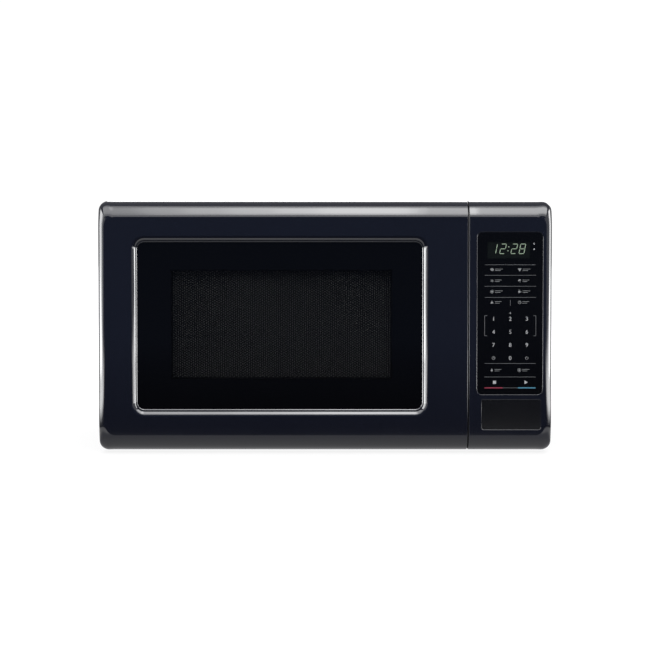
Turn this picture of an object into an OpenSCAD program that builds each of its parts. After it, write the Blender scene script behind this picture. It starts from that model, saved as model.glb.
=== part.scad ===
/* [Overall] */
// Width of the fascia, the widest part
body_w = 440; // [430:1:460]
// Depth from the door face to the rear screw heads
body_d = 345; // [345:1:380]
// Height of the door and control panel
fascia_h = 243; // [241:1:250]
// Gap between the fascia's lower edge and the worktop
foot_gap = 3; // [3:0.5:5]
// Depth of the door and control panel
fascia_d = 31; // [31:0.5:33]

/* [Fascia shape] */
// Wall of the moulded fascia parts
fascia_wall = 2.5; // [2:0.1:3]
// Height of the curved band along the top and bottom edges
band_h = 15.5; // [12:0.5:16]
// Radius of the curved band, larger than its height
band_r = 20; // [18:0.5:22]
// Radius of the vertical outer edges
side_r = 4.5; // [3:0.5:5]
// Corner radius of the fascia outline
corner_r = 9; // [6:0.5:10]

/* [Door] */
// Width of the door
door_w = 359; // [355:1:360]
// Gap between the door and the control panel
seam = 1.2; // [1:0.1:1.5]
// Width of the window opening
window_w = 275.6; // [260:0.2:276]
// Height of the window opening
window_h = 160.3; // [150:0.1:161]
// Width of the rounded bezel around the window
bezel_w = 6.5; // [5:0.5:7]
// Depth of the window below the door face
window_recess = 6.5; // [5:0.5:7]
// Radius of the hinge pins
hinge_pin_r = 2; // [1.8:0.1:2.1]
// Running clearance of pins and shafts, on the radius
running = 0.05; // [0.03:0.01:0.08]

/* [Oven cavity] */
// Inside width
cavity_w = 302; // [298:1:302]
// Inside height
cavity_h = 201; // [196:1:201]
// Inside depth
cavity_d = 290; // [285:1:290]
// Sheet thickness
sheet = 1; // [0.8:0.1:1]

/* [Turntable] */
// Diameter of the glass tray
tray_d = 245; // [240:1:250]
// Radius of a roller wheel
wheel_r = 6.5; // [6:0.1:6.5]
// Radius of the circle that the wheels run on
track_r = 86; // [80:1:90]
// Number of roller wheels
wheel_count = 3; // [3:1:3]

/* [Control panel] */
// Width of the keypad overlay
overlay_w = 63.3; // [60:0.1:64]
// Height of the keypad overlay
overlay_h = 157.3; // [150:0.1:158]
// Width of the door release button
button_w = 56.4; // [50:0.1:57]
// Height of the door release button
button_h = 28.3; // [25:0.1:29]
// Clearance around the button
button_gap = 0.3; // [0.2:0.05:0.4]

/* [Hidden] */
WHEELS = [for (i = [1:wheel_count]) str("roller_wheel_", i)];
$fn = 48;

// Main planes
half_w = body_w / 2;
front_y = -body_d / 2;
flange_y = front_y + fascia_d;
bottom_z = foot_gap;
top_z = foot_gap + fascia_h;
mid_z = (bottom_z + top_z) / 2;
rear_y = front_y + body_d;
screw_head = 2;
wrap_rear = rear_y - screw_head;
panel_rear = wrap_rear - sheet;
wrap_x = half_w - 1;
wrap_top = top_z - 1.5;
inner_x = wrap_x - sheet;
inner_top = wrap_top - sheet;
base_z = foot_gap + 4;
frame_x = inner_x - 0.5;

// Door and control panel
door_x0 = -half_w;
door_x1 = door_x0 + door_w;
door_rear = flange_y - 3.5;
panel_x0 = door_x1 + seam;
panel_rear_y = flange_y + 0.5;
front_wall = 3;
arc_steps = 10;
window_cx = -44.6;
bezel_r = 13;
window_r = 6;
pane_t = 3;
pane_y0 = front_y + window_recess + 0.1;
window_margin = 6;

// Hinge
hinge_x = door_x0 + 6;
hinge_y = flange_y - 9;
tab_r = 3.3;
tab_t = 1.5;
bracket_t = 2;
upper_bracket_z = 226;
lower_bracket_z = 22;
notch_gap = 0.6;

// Oven cavity
cavity_x0 = -198;
cavity_x1 = cavity_x0 + cavity_w;
cavity_cx = (cavity_x0 + cavity_x1) / 2;
floor_z = 25;
ceiling_z = floor_z + cavity_h;
cavity_y1 = flange_y + cavity_d;
cavity_cy = (flange_y + cavity_y1) / 2;
boss_r = 36;
boss_h = 3;

// Door inner parts
screen_x0 = -205;
screen_x1 = 118;
screen_z0 = 14;
screen_z1 = 236;
screen_y = front_y + 13.5;
mesh_t = 0.6;
mesh_x = [-150.2, 65.4];
mesh_z = [71.9, 179.5];
plateau_y = screen_y + 8;
choke_rear = flange_y - 0.7;
choke_t = 1.8;
hook_x = 128;
hook_t = 4;
upper_hook = [168, 190];
lower_hook = [58, 72];
hook_tip = flange_y + 20.5;
barb = 2.5;
slide_bar = [[124, front_y + 17, 50], [132, front_y + 22, 200]];
spring_x = 128;
spring_y = front_y + 19.5;
latch_seat_z = 222;

// Turntable
roll_gap = 0.3;
wheel_z = floor_z + roll_gap + wheel_r;
tray_z = wheel_z + wheel_r + roll_gap;
tray_t = 4;
rim_h = 12;
wheel_t = 7;
axle_r = 2;
shaft_r = 3.5;
motor_z0 = 10.5;
motor_z1 = floor_z + boss_h - sheet - 0.5;
coupler_top = tray_z - 0.4;

// Component bay
bay_x0 = cavity_x1 + sheet;
guide_x1 = bay_x0 + 24;
guide_y = [-45, 50];
guide_z = [88, 222];
tube_y = 2;
tube_z = 186;
fan_x = 158;
fan_z = 168;
fan_r = 45;
fan_y0 = panel_rear - 17;
bend_r = 4;
core = [[120, -85, base_z + 3], [200, -30, base_z + 68]];
leg_x = [147, 173];
slot_x = [132, 188];
slot_z = [core[0][2] + 13, core[1][2] - 13];
gland_x = 190;
gland_z = 44;
gland_r = 4.2;

// Latch and release
lever_y = flange_y + 10.5;
lever_z = 48;
lever_r = 2.5;
post_z = [33.5, 37.5];
post_x = [153, 159];
button_travel = 6;
button_cx = 180.6;
button_cz = 38.6;
overlay_cx = 179.15;
overlay_cz = 137;
overlay_r = 5;
overlay_t = 0.7;
display_x = [156.6, 199];
display_z = [189.8, 207.1];
button_spring_x = 196;
spring_seat_y = front_y + 23;
board_y = front_y + 15;

function arc(c, r, a0, a1, n = arc_steps) =
    [for (i = [0:n]) let (a = a0 + (a1 - a0) * i / n) c + r * [cos(a), sin(a)]];

// A closed tube of n sides swept round a helix that rises along +Z
function helix_point(r, pitch, t) = [r * cos(360 * t), r * sin(360 * t), pitch * t];
function helix_ring(r, pitch, t, wire, n) = [for (k = [0:n - 1]) let (a = 360 * k / n)
    helix_point(r, pitch, t) + wire * (cos(a) * [cos(360 * t), sin(360 * t), 0] + sin(a) * [0, 0, 1])];

module helix(r, pitch, turns, wire, n = 6, steps = 14) {
    rings = turns * steps;
    points = [for (i = [0:rings]) each helix_ring(r, pitch, i / steps, wire, n)];
    sides = [for (i = [0:rings - 1], k = [0:n - 1]) let (a = i * n + k, b = i * n + (k + 1) % n)
        [a, a + n, b + n, b]];
    ends = [[for (k = [0:n - 1]) k], [for (k = [n - 1:-1:0]) rings * n + k]];
    polyhedron(points, concat(sides, ends));
}

module block(lo, hi) translate(lo) cube(hi - lo);

module rod_x(x0, x1, y, z, r) translate([x0, y, z]) rotate([0, 90, 0]) cylinder(r = r, h = x1 - x0);
module rod_y(y0, y1, x, z, r) translate([x, y1, z]) rotate([90, 0, 0]) cylinder(r = r, h = y1 - y0);
module rod_z(z0, z1, x, y, r) translate([x, y, z0]) cylinder(r = r, h = z1 - z0);

// A plate across Y with rounded corners
module plate_y(x0, x1, z0, z1, y0, y1, r) {
    points = concat(arc([x1 - r, z1 - r], r, 0, 90, 6), arc([x0 + r, z1 - r], r, 90, 180, 6),
        arc([x0 + r, z0 + r], r, 180, 270, 6), arc([x1 - r, z0 + r], r, 270, 360, 6));
    translate([0, y1, 0]) rotate([90, 0, 0]) linear_extrude(y1 - y0) polygon(points);
}

// Slots in a plate across X, centred at y, z
module slots_x(x0, x1, ys, zs, w, h) {
    for (y = ys, z = zs) block([x0, y - w / 2, z - h / 2], [x1, y + w / 2, z + h / 2]);
}

// Slots in a plate across Y, centred at x, z
module slots_y(y0, y1, xs, zs, w, h) {
    for (x = xs, z = zs) block([x - w / 2, y0, z - h / 2], [x + w / 2, y1, z + h / 2]);
}

// Side view of the fascia: flat front, curved bands above and below
function side_profile(front, rear, z0, z1, cy, r) = let (lean = acos((cy - front) / r)) concat(
    [[rear, z0]], arc([cy, z0 + r], r, 270, 180 + lean), arc([cy, z1 - r], r, 180 - lean, 90), [[rear, z1]]);

// Plan view: rounded outer edge at x0 or x1, as the radii say
function plan_profile(x0, x1, front, rear, r0, r1) = concat([[x1, rear], [x0, rear]],
    r0 > 0 ? arc([x0 + r0, front + r0], r0, 180, 270, 6) : [[x0, front]],
    r1 > 0 ? arc([x1 - r1, front + r1], r1, 270, 360, 6) : [[x1, front]]);

// Front view: corner radius on each side
function outline(x0, x1, z0, z1, r0, r1) = concat(
    r1 > 0 ? arc([x1 - r1, z1 - r1], r1, 0, 90, 6) : [[x1, z1]],
    r0 > 0 ? arc([x0 + r0, z1 - r0], r0, 90, 180, 6) : [[x0, z1]],
    r0 > 0 ? arc([x0 + r0, z0 + r0], r0, 180, 270, 6) : [[x0, z0]],
    r1 > 0 ? arc([x1 - r1, z0 + r1], r1, 270, 360, 6) : [[x1, z0]]);

// Solid of a fascia part, taken in by inset on every side and by face at the front
module fascia(x0, x1, rear, left, right, inset = 0, face = 0) {
    cy = front_y + sqrt(2 * band_r * band_h - band_h * band_h);
    left_in = left ? inset : (inset > 0 ? fascia_wall : 0);
    right_in = right ? inset : (inset > 0 ? fascia_wall : 0);
    xa = x0 + left_in;
    xb = x1 - right_in;
    intersection() {
        translate([xa - 1, 0, 0]) rotate([90, 0, 90]) linear_extrude(xb - xa + 2)
            polygon(side_profile(front_y + face, rear, bottom_z + inset, top_z - inset, cy, band_r - inset));
        translate([0, 0, bottom_z - 1]) linear_extrude(fascia_h + 2)
            polygon(plan_profile(xa, xb, front_y + face - 0.01, rear, left ? side_r - inset / 2 : 0,
                right ? side_r - inset / 2 : 0));
        translate([0, rear + 1, 0]) rotate([90, 0, 0]) linear_extrude(fascia_d + 20)
            polygon(outline(xa, xb, bottom_z + inset, top_z - inset, left ? corner_r - inset : 0,
                right ? corner_r - inset : 0));
    }
}

// A block with its two upper edges rounded
module arched_block(half, z0, z1, y0, y1, r) {
    translate([0, y1, 0]) rotate([90, 0, 0]) linear_extrude(y1 - y0) {
        translate([-half, z0]) square([2 * half, z1 - z0 - r]);
        translate([-half + r, z0]) square([2 * (half - r), z1 - z0]);
        for (x = [-half + r, half - r]) translate([x, z1 - r]) circle(r = r);
    }
}

module cabinet_wrap() color([0.12, 0.12, 0.14]) {
    y0 = flange_y + sheet + 0.1;
    lip = 12;
    vent_z = [for (i = [0:7]) 150 + 8 * i];
    difference() {
        arched_block(wrap_x, base_z, wrap_top, y0, wrap_rear, bend_r);
        arched_block(inner_x, base_z - 1, inner_top, y0 - 1, panel_rear, bend_r - sheet);
        block([-inner_x + lip, y0, base_z - 1], [inner_x - lip, wrap_rear + 1, inner_top - lip]);
        for (x = [-inner_x + lip / 2, inner_x - lip / 2], z = [30, 125])
            rod_y(panel_rear - 1, wrap_rear + 1, x, z, 1.6);
        for (x = [-90, 90]) rod_y(panel_rear - 1, wrap_rear + 1, x, inner_top - lip / 2, 1.6);
        slots_x(-wrap_x - 1, -inner_x + 1, [70, 100, 130], vent_z, 22, 3);
        slots_x(inner_x - 1, wrap_x + 1, [-70, -40, -10, 20], vent_z, 22, 3);
    }
}

module base_plate() color([0.68, 0.7, 0.72]) {
    lip = 8;
    difference() {
        union() {
            block([-frame_x, flange_y + sheet + 0.1, base_z], [frame_x, panel_rear - sheet, base_z + sheet]);
            for (x = [-frame_x, frame_x - sheet])
                block([x, flange_y + 6, base_z + 0.5], [x + sheet, panel_rear - sheet - 4, base_z + lip]);
        }
        for (x = [-190, 190], y = [-104, 140]) rod_z(base_z - 1, base_z + 2, x, y, 3.1);
        for (i = [0:8]) block([120 + 10 * i, -20, base_z - 1], [124 + 10 * i, 30, base_z + 2]);
        for (i = [0:5]) rotate_about_tray(60 * i) translate([36, -3, base_z - 1]) cube([14, 6, 3]);
    }
}

module rotate_about_tray(a) translate([cavity_cx, cavity_cy, 0]) rotate([0, 0, a]) children();

module rear_panel() color([0.66, 0.68, 0.7]) {
    y0 = panel_rear - sheet;
    difference() {
        arched_block(frame_x, base_z + sheet + 0.1, inner_top - 0.2, y0, panel_rear, bend_r - sheet);
        for (row = [-4:4]) let (half = sqrt(pow(fan_r - 3, 2) - pow(9 * row, 2)), z = fan_z + 9 * row)
            block([fan_x - half, y0 - 1, z - 2], [fan_x + half, panel_rear + 1, z + 2]);
        slots_y(y0 - 1, panel_rear + 1, [for (i = [0:9]) -180 + 12 * i], [190, 206], 5, 12);
        rod_y(y0 - 1, panel_rear + 1, gland_x, gland_z, 8.2);
        for (x = [-inner_x + 6, inner_x - 6], z = [30, 125]) rod_y(y0 - 1, panel_rear + 1, x, z, 1.6);
        for (x = [-90, 90]) rod_y(y0 - 1, panel_rear + 1, x, inner_top - 6, 1.6);
    }
}

module rear_screw(x, z) {
    rod_y(wrap_rear, rear_y, x, z, 3.6);
    rod_y(panel_rear - 8, wrap_rear + 0.5, x, z, 1.5);
}

module cabinet_screws() color([0.35, 0.35, 0.36]) {
    for (x = [-inner_x + 6, inner_x - 6], z = [30, 125]) rear_screw(x, z);
    for (x = [-90, 90]) rear_screw(x, inner_top - 6);
}

module feet() color([0.06, 0.06, 0.06]) {
    for (x = [-190, 190], y = [-104, 140]) translate([x, y, 0]) rotate_extrude()
        polygon([[0, 0], [10, 0], [11, 1.2], [12, base_z], [3, base_z], [3, base_z + sheet],
            [4.6, base_z + sheet + 0.05], [2, base_z + 5], [0, base_z + 5]]);
}

// Cavity front frame: opening, latch slots, hinge notches and screw holes
module front_flange() color([0.8, 0.81, 0.8]) {
    y0 = flange_y - 1;
    y1 = flange_y + sheet;
    difference() {
        block([-frame_x, flange_y, base_z + 0.5], [door_x1 - 0.5, y1, inner_top - 0.5]);
        plate_y(cavity_x0, cavity_x1, floor_z, ceiling_z, y0, y1 + 1, 4);
        for (h = [upper_hook, lower_hook])
            block([hook_x - 4, y0, h[0] - 4], [hook_x + 5.5, y1 + 1, h[1] + 5]);
        for (z = [upper_bracket_z, lower_bracket_z])
            block([-frame_x - 1, y0, z - 0.2], [hinge_x + tab_r + 0.2, y1 + 1, z + bracket_t + 0.2]);
        for (z = [upper_bracket_z - 18, upper_bracket_z - 8, lower_bracket_z + 10, lower_bracket_z + 20])
            rod_y(y0, y1 + 1, -209, z, 3.9);
    }
}

module cavity_skin(lo, hi) color([0.78, 0.79, 0.78]) block(lo, hi);

module cavity_floor() color([0.78, 0.79, 0.78]) {
    difference() {
        union() {
            block([cavity_x0 - sheet, flange_y + sheet, floor_z - sheet],
                [cavity_x1 + sheet, cavity_y1 + sheet, floor_z]);
            translate([cavity_cx, cavity_cy, floor_z - sheet])
                cylinder(r1 = boss_r + 4, r2 = boss_r, h = boss_h + sheet);
        }
        translate([cavity_cx, cavity_cy, floor_z - sheet - 1]) cylinder(r = boss_r - 1, h = boss_h + 1);
        rod_z(0, 50, cavity_cx, cavity_cy, 8);
    }
}

module cavity_ceiling() cavity_skin([cavity_x0 - sheet, flange_y + sheet, ceiling_z],
    [cavity_x1 + sheet, cavity_y1 + sheet, ceiling_z + sheet]);

module cavity_left_wall() color([0.78, 0.79, 0.78]) {
    difference() {
        block([cavity_x0 - sheet, flange_y + sheet, floor_z], [cavity_x0, cavity_y1 + sheet, ceiling_z]);
        for (i = [0:6], k = [0:3]) rod_x(cavity_x0 - 3, cavity_x0 + 2, 90 + 7 * i, 196 + 7 * k, 2);
    }
}

module cavity_right_wall() color([0.78, 0.79, 0.78]) {
    difference() {
        block([cavity_x1, flange_y + sheet, floor_z], [cavity_x1 + sheet, cavity_y1 + sheet, ceiling_z]);
        block([cavity_x1 - 1, -28, 97], [cavity_x1 + 2, 32, 130]);
        for (i = [0:4], k = [0:4]) rod_x(cavity_x1 - 2, cavity_x1 + 3, 84 + 7 * i, 190 + 7 * k, 2);
        for (i = [0:6], k = [0:3]) rod_x(cavity_x1 - 2, cavity_x1 + 3, -110 + 7 * i, 196 + 7 * k, 2);
    }
}

module cavity_back_wall() cavity_skin([cavity_x0, cavity_y1, floor_z],
    [cavity_x1, cavity_y1 + sheet, ceiling_z]);

module waveguide_cover() color([0.72, 0.66, 0.5])
    block([cavity_x1 - 0.9, -36, 89], [cavity_x1 - 0.1, 40, 138]);

module waveguide() color([0.7, 0.72, 0.74]) {
    difference() {
        block([bay_x0, guide_y[0], guide_z[0]], [guide_x1, guide_y[1], guide_z[1]]);
        block([bay_x0 - 1, guide_y[0] + sheet, guide_z[0] + sheet],
            [guide_x1 - sheet, guide_y[1] - sheet, guide_z[1] - sheet]);
        rod_x(guide_x1 - 3, guide_x1 + 2, tube_y, tube_z, 17);
    }
}

module magnetron_yoke() color([0.72, 0.73, 0.75]) {
    x0 = guide_x1 + 0.2;
    difference() {
        block([x0, tube_y - 40, tube_z - 36], [x0 + 50, tube_y + 40, tube_z + 36]);
        block([x0 + 2, tube_y - 41, tube_z - 34], [x0 + 48, tube_y + 41, tube_z + 34]);
        block([x0 + 2, tube_y - 41, tube_z - 60], [x0 + 60, tube_y - 32, tube_z + 60]);
        block([x0 + 2, tube_y + 32, tube_z - 60], [x0 + 60, tube_y + 41, tube_z + 60]);
        rod_x(x0 - 1, x0 + 3, tube_y, tube_z, 12);
        rod_x(x0 + 47, x0 + 52, tube_y, tube_z, 12);
        for (dy = [-36, 36], dz = [-30, 30]) rod_x(x0 - 1, x0 + 3, tube_y + dy, tube_z + dz, 2.2);
    }
}

module magnetron_fins() color([0.82, 0.83, 0.85]) {
    x0 = guide_x1 + 0.2;
    for (i = [0:6]) difference() {
        block([x0 + 13 + 4 * i, tube_y - 30, tube_z - 33], [x0 + 13.8 + 4 * i, tube_y + 30, tube_z + 33]);
        rod_x(x0 + 12 + 4 * i, x0 + 15 + 4 * i, tube_y, tube_z, 19.6);
    }
}

module magnetron_tube() color([0.76, 0.5, 0.38]) {
    x0 = guide_x1 + 0.2;
    rod_x(x0 + 12.2, x0 + 38.6, tube_y, tube_z, 19.5);
    rod_x(x0 + 2.2, x0 + 12.2, tube_y, tube_z, 27);
    rod_x(x0 + 38.6, x0 + 47.8, tube_y, tube_z, 27);
    rod_x(x0 - 10, x0 + 2.2, tube_y, tube_z, 10);
    rod_x(x0 - 20, x0 - 10, tube_y, tube_z, 7.5);
}

module magnetron_filter_box() color([0.75, 0.76, 0.78]) {
    x0 = guide_x1 + 50.4;
    block([x0, tube_y - 24, tube_z - 30], [x0 + 32, tube_y + 24, tube_z + 30]);
    block([x0 + 8, tube_y - 36, tube_z - 10], [x0 + 24, tube_y - 24, tube_z + 10]);
}

module transformer_core() color([0.3, 0.3, 0.32]) {
    difference() {
        union() {
            block(core[0], core[1]);
            block([core[0][0] - 8, core[0][1] + 4, base_z + sheet + 0.1],
                [core[1][0] + 8, core[1][1] - 4, core[0][2] + 0.5]);
        }
        block([slot_x[0], core[0][1] - 1, slot_z[0]], [leg_x[0], core[1][1] + 1, slot_z[1]]);
        block([leg_x[1], core[0][1] - 1, slot_z[0]], [slot_x[1], core[1][1] + 1, slot_z[1]]);
        for (x = [core[0][0] - 4, core[1][0] + 4], y = [core[0][1] + 12, core[1][1] - 12])
            rod_z(base_z, core[0][2] + 1, x, y, 2.2);
    }
}

module winding(z0, z1) {
    over = 13;
    difference() {
        block([slot_x[0] + 0.5, core[0][1] - over, z0], [slot_x[1] - 0.5, core[1][1] + over, z1]);
        block([leg_x[0] - 0.3, core[0][1] - 0.3, z0 - 1], [leg_x[1] + 0.3, core[1][1] + 0.3, z1 + 1]);
    }
}

module transformer_windings() color([0.62, 0.3, 0.16]) {
    mid = slot_z[0] + 15;
    winding(slot_z[0] + 0.5, mid);
    winding(mid + 2, slot_z[1] - 0.5);
}

module capacitor() color([0.75, 0.75, 0.72]) {
    for (x = [126, 146]) rod_z(base_z + sheet + 0.3, base_z + 76, x, 100, 15);
    block([126, 85, base_z + sheet + 0.3], [146, 115, base_z + 76]);
    for (x = [128, 144]) block([x - 3, 99.5, base_z + 75], [x + 3, 100.5, base_z + 84]);
}

module capacitor_clamp() color([0.7, 0.72, 0.74]) {
    r = 15.3;
    difference() {
        union() {
            for (x = [126, 146]) rod_z(base_z + 20, base_z + 32, x, 100, r + 1.2);
            block([126, 100 - r - 1.2, base_z + 20], [146, 100 + r + 1.2, base_z + 32]);
            block([161, 96, base_z + sheet + 0.1], [163.5, 104, base_z + 32]);
        }
        for (x = [126, 146]) rod_z(base_z + 19, base_z + 33, x, 100, r);
        block([126, 100 - r, base_z + 19], [146, 100 + r, base_z + 33]);
    }
}

module diode() color([0.15, 0.15, 0.16]) {
    z = base_z + 70;
    rod_y(56, 74, 136, z, 3);
    rod_y(40, 56.5, 136, z, 0.8);
    rod_y(73.5, 82, 136, z, 0.8);
}

module fan_shroud() color([0.2, 0.2, 0.21]) {
    y1 = panel_rear - sheet - 0.1;
    half = fan_r + 5;
    difference() {
        block([fan_x - half, fan_y0 - 4, fan_z - half], [fan_x + half, y1, fan_z + half]);
        rod_y(fan_y0 - 5, y1 + 1, fan_x, fan_z, fan_r + 1.5);
        for (x = [-40, 40], z = [-40, 40]) rod_y(fan_y0 - 5, y1 + 1, fan_x + x, fan_z + z, 2.2);
    }
    for (x = [fan_x - 30, fan_x + 26])
        block([x, fan_y0 - 8, fan_z - half], [x + 4, fan_y0 - 4, fan_z + half]);
}

module fan_motor() color([0.55, 0.56, 0.58]) {
    y0 = fan_y0 - 34;
    y1 = fan_y0 - 8.2;
    difference() {
        union() {
            block([fan_x - 30, y0 + 4, fan_z - 24], [fan_x + 30, y1, fan_z + 22]);
            rod_y(y0, y0 + 6, fan_x, fan_z, 9);
        }
        block([fan_x - 20, y0 + 3, fan_z - 60], [fan_x - 17, y1 + 1, fan_z - 16]);
        block([fan_x + 17, y0 + 3, fan_z - 60], [fan_x + 20, y1 + 1, fan_z - 16]);
        rod_y(y0 - 1, y1 + 1, fan_x, fan_z, 2 + running);
    }
}

// Blade on its shaft: hub with swept blades
module fan_blade() color([0.75, 0.76, 0.78]) {
    blades = 5;
    rod_y(fan_y0, fan_y0 + 13, fan_x, fan_z, 9);
    rod_y(fan_y0 - 36, fan_y0 + 2, fan_x, fan_z, 2);
    for (i = [0:blades - 1]) translate([fan_x, fan_y0 + 6.5, fan_z]) rotate([0, 360 / blades * i, 0])
        translate([0, 0, 7]) rotate([0, 0, 32]) translate([-13, -0.7, 0]) cube([26, 1.4, fan_r - 13]);
}

module air_duct() color([0.16, 0.16, 0.17]) {
    difference() {
        block([131, 46, 146], [216, 112, 226]);
        block([133, 45, 148], [217, 113, 224]);
    }
}

module turntable_motor() color([0.7, 0.71, 0.72]) {
    difference() {
        union() {
            rod_z(motor_z0, motor_z1, cavity_cx, cavity_cy, 25);
            for (x = [cavity_cx - 29, cavity_cx + 29]) rod_z(motor_z1 - 1.5, motor_z1 - 0.5, x, cavity_cy, 4);
            translate([cavity_cx - 29, cavity_cy - 4, motor_z1 - 1.5]) cube([58, 8, 1]);
        }
        rod_z(motor_z0 + 5, motor_z1 + 1, cavity_cx, cavity_cy, shaft_r + running);
    }
}

module drive_coupler() color([0.85, 0.85, 0.82]) {
    z0 = floor_z + boss_h + 1.5;
    rod_z(motor_z0 + 5.5, z0 + 2, cavity_cx, cavity_cy, shaft_r);
    translate([cavity_cx, cavity_cy, z0]) linear_extrude(coupler_top - z0) {
        circle(r = 10);
        for (i = [0:2]) rotate(120 * i) translate([5, -4.5]) square([19, 9]);
    }
}

module roller_ring() color([0.86, 0.86, 0.84]) {
    translate([cavity_cx, cavity_cy, wheel_z]) rotate_extrude($fn = 96)
        translate([68, -3]) square([7, 6]);
    for (i = [0:wheel_count - 1]) rotate_about_tray(120 * i + 30) {
        rod_x(74, track_r + wheel_t / 2 + 4, 0, wheel_z, axle_r);
        rod_x(74, track_r - wheel_t / 2 - 0.5, 0, wheel_z, 3.5);
        rod_x(track_r + wheel_t / 2 + 0.5, track_r + wheel_t / 2 + 3, 0, wheel_z, 3.5);
    }
}

module roller_wheel(i) color([0.9, 0.9, 0.88]) {
    rotate_about_tray(120 * (i - 1) + 30) difference() {
        rod_x(track_r - wheel_t / 2, track_r + wheel_t / 2, 0, wheel_z, wheel_r);
        rod_x(track_r - wheel_t, track_r + wheel_t, 0, wheel_z, axle_r + running);
    }
}

module glass_tray() color([0.75, 0.85, 0.85, 0.5]) {
    r = tray_d / 2;
    flat = r - 22;
    rim = 26;
    translate([cavity_cx, cavity_cy, 0]) rotate_extrude($fn = 120) polygon(concat(
        [[0, tray_z]], arc([flat, tray_z + rim], rim, 270, 325, 8),
        arc([r - 1.5, tray_z + rim_h - 1], 1.5, 0, 180, 6),
        arc([flat, tray_z + rim], rim - tray_t, 318, 270, 8), [[0, tray_z + tray_t]]));
    for (i = [0:2]) rotate_about_tray(120 * i + 60)
        translate([13, -4, tray_z - 4.5]) cube([9, 8, 5]);
}

module oven_lamp() color([0.95, 0.9, 0.75]) {
    x0 = bay_x0 + 10.5;
    translate([x0, 98, 204]) sphere(r = 9);
    rod_x(x0, x0 + 10, 98, 204, 9);
    rod_x(x0 + 9, x0 + 15, 98, 204, 11);
    block([x0 + 11, 84, 192], [x0 + 12, 112, 216]);
}

module thermal_cutouts() color([0.2, 0.2, 0.2]) {
    rod_z(ceiling_z + sheet + 0.1, ceiling_z + sheet + 9, cavity_cx, 60, 8);
    block([cavity_cx - 12, 57, ceiling_z + sheet + 0.1], [cavity_cx + 12, 63, ceiling_z + sheet + 1]);
    rod_z(tube_z + 36.2, tube_z + 46, guide_x1 + 25, tube_y, 8);
}

module latch_board() color([0.9, 0.9, 0.88]) {
    x0 = bay_x0 + 1.5;
    y0 = flange_y + sheet + 0.1;
    y1 = flange_y + 29;
    difference() {
        union() {
            block([x0, y0, 24], [x0 + 2, y1, 214]);
            block([x0, y0, 24], [door_x1 - 0.5, y0 + 2, 214]);
            for (z = [24, 89, 148, 212]) block([x0, y0, z], [door_x1 - 0.5, y1, z + 2]);
            for (x = [118, 134]) block([x, y0, 24], [x + 3, y0 + 16, lever_z + 5]);
        }
        for (h = [upper_hook, lower_hook])
            block([hook_x - 4, y0 - 1, h[0] - 4], [hook_x + 5.5, y0 + 3, h[1] + 5]);
        rod_x(110, 150, lever_y, lever_z, lever_r + running);
    }
}

// Door switches: body 27.8 x 15.9 x 10.3, each with a bore for its plunger
switch_size = [10.3, 15.9, 27.8];
switch_y = hook_tip + 4;
plunger_z = [187.2, 172.8, 66];
switch_z = [180.2, 179.8 - switch_size[2], 59];
plunger_r = 1.6;

module door_switches() color([0.12, 0.12, 0.13]) {
    for (i = [0:2]) difference() {
        translate([hook_x - 5, switch_y, switch_z[i]]) cube(switch_size);
        rod_y(switch_y - 1, switch_y + 6, hook_x, plunger_z[i], plunger_r + running);
    }
}

module switch_plungers() color([0.8, 0.15, 0.12])
    for (z = plunger_z) rod_y(hook_tip + 0.3, switch_y + 4, hook_x, z, plunger_r);

module release_lever() color([0.88, 0.88, 0.86]) {
    pad_y = lever_y - 2;
    rod_x(117.5, 161, lever_y, lever_z, lever_r);
    rod_x(125.5, 130.5, lever_y, lever_z, 4);
    difference() {
        union() {
            block([151, pad_y, post_z[0] - 1], [161, pad_y + 3, lever_z]);
            rod_x(151, 161, lever_y, lever_z, 4);
            block([125.5, lever_y - 2, lever_z], [130.5, lever_y + 10, lever_z + 6.4]);
        }
        block([124, lever_y - 3, lever_z - 5], [132, lever_y + 11, lever_z + 2.4]);
    }
}

module control_panel() color([0.12, 0.12, 0.15]) {
    x0 = panel_x0;
    x1 = half_w;
    bx = [button_cx - button_w / 2 - button_gap, button_cx + button_w / 2 + button_gap];
    bz = [button_cz - button_h / 2 - button_gap, button_cz + button_h / 2 + button_gap];
    difference() {
        fascia(x0, x1, panel_rear_y - 1, false, true);
        fascia(x0, x1, panel_rear_y + 1, false, true, fascia_wall, front_wall);
        plate_y(overlay_cx - overlay_w / 2, overlay_cx + overlay_w / 2, overlay_cz - overlay_h / 2,
            overlay_cz + overlay_h / 2, front_y - 1, front_y + overlay_t + 0.2, overlay_r);
        block([display_x[0], front_y - 1, display_z[0]], [display_x[1], front_y + 5, display_z[1]]);
        plate_y(bx[0], bx[1], bz[0], bz[1], front_y - 1, front_y + 5, 1.5);
    }
    difference() {
        block([x0 + 1, spring_seat_y, bottom_z + 10], [x1 - 1, spring_seat_y + 2, bz[1] + 4]);
        block([post_x[0] - 0.5, spring_seat_y - 1, post_z[0] - 0.5],
            [post_x[1] + 0.5, spring_seat_y + 3, post_z[1] + 0.5]);
    }
    for (x = [x0 + 12, x1 - 8], z = [66, 216]) rod_y(front_y + 2, board_y - 0.1, x, z, 3);
}

module keypad_overlay() color([0.02, 0.02, 0.03]) {
    difference() {
        plate_y(overlay_cx - overlay_w / 2 + 0.2, overlay_cx + overlay_w / 2 - 0.2,
            overlay_cz - overlay_h / 2 + 0.2, overlay_cz + overlay_h / 2 - 0.2,
            front_y + 0.1, front_y + 0.1 + overlay_t, overlay_r);
        block([display_x[0] + 0.5, front_y - 1, display_z[0] + 0.5],
            [display_x[1] - 0.5, front_y + 5, display_z[1] - 0.5]);
    }
}

module display_window() color([0.03, 0.05, 0.03, 0.5])
    block([display_x[0] + 0.2, front_y + overlay_t + 0.3, display_z[0] + 0.2],
        [display_x[1] - 0.2, front_y + 2.6, display_z[1] - 0.2]);

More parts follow.
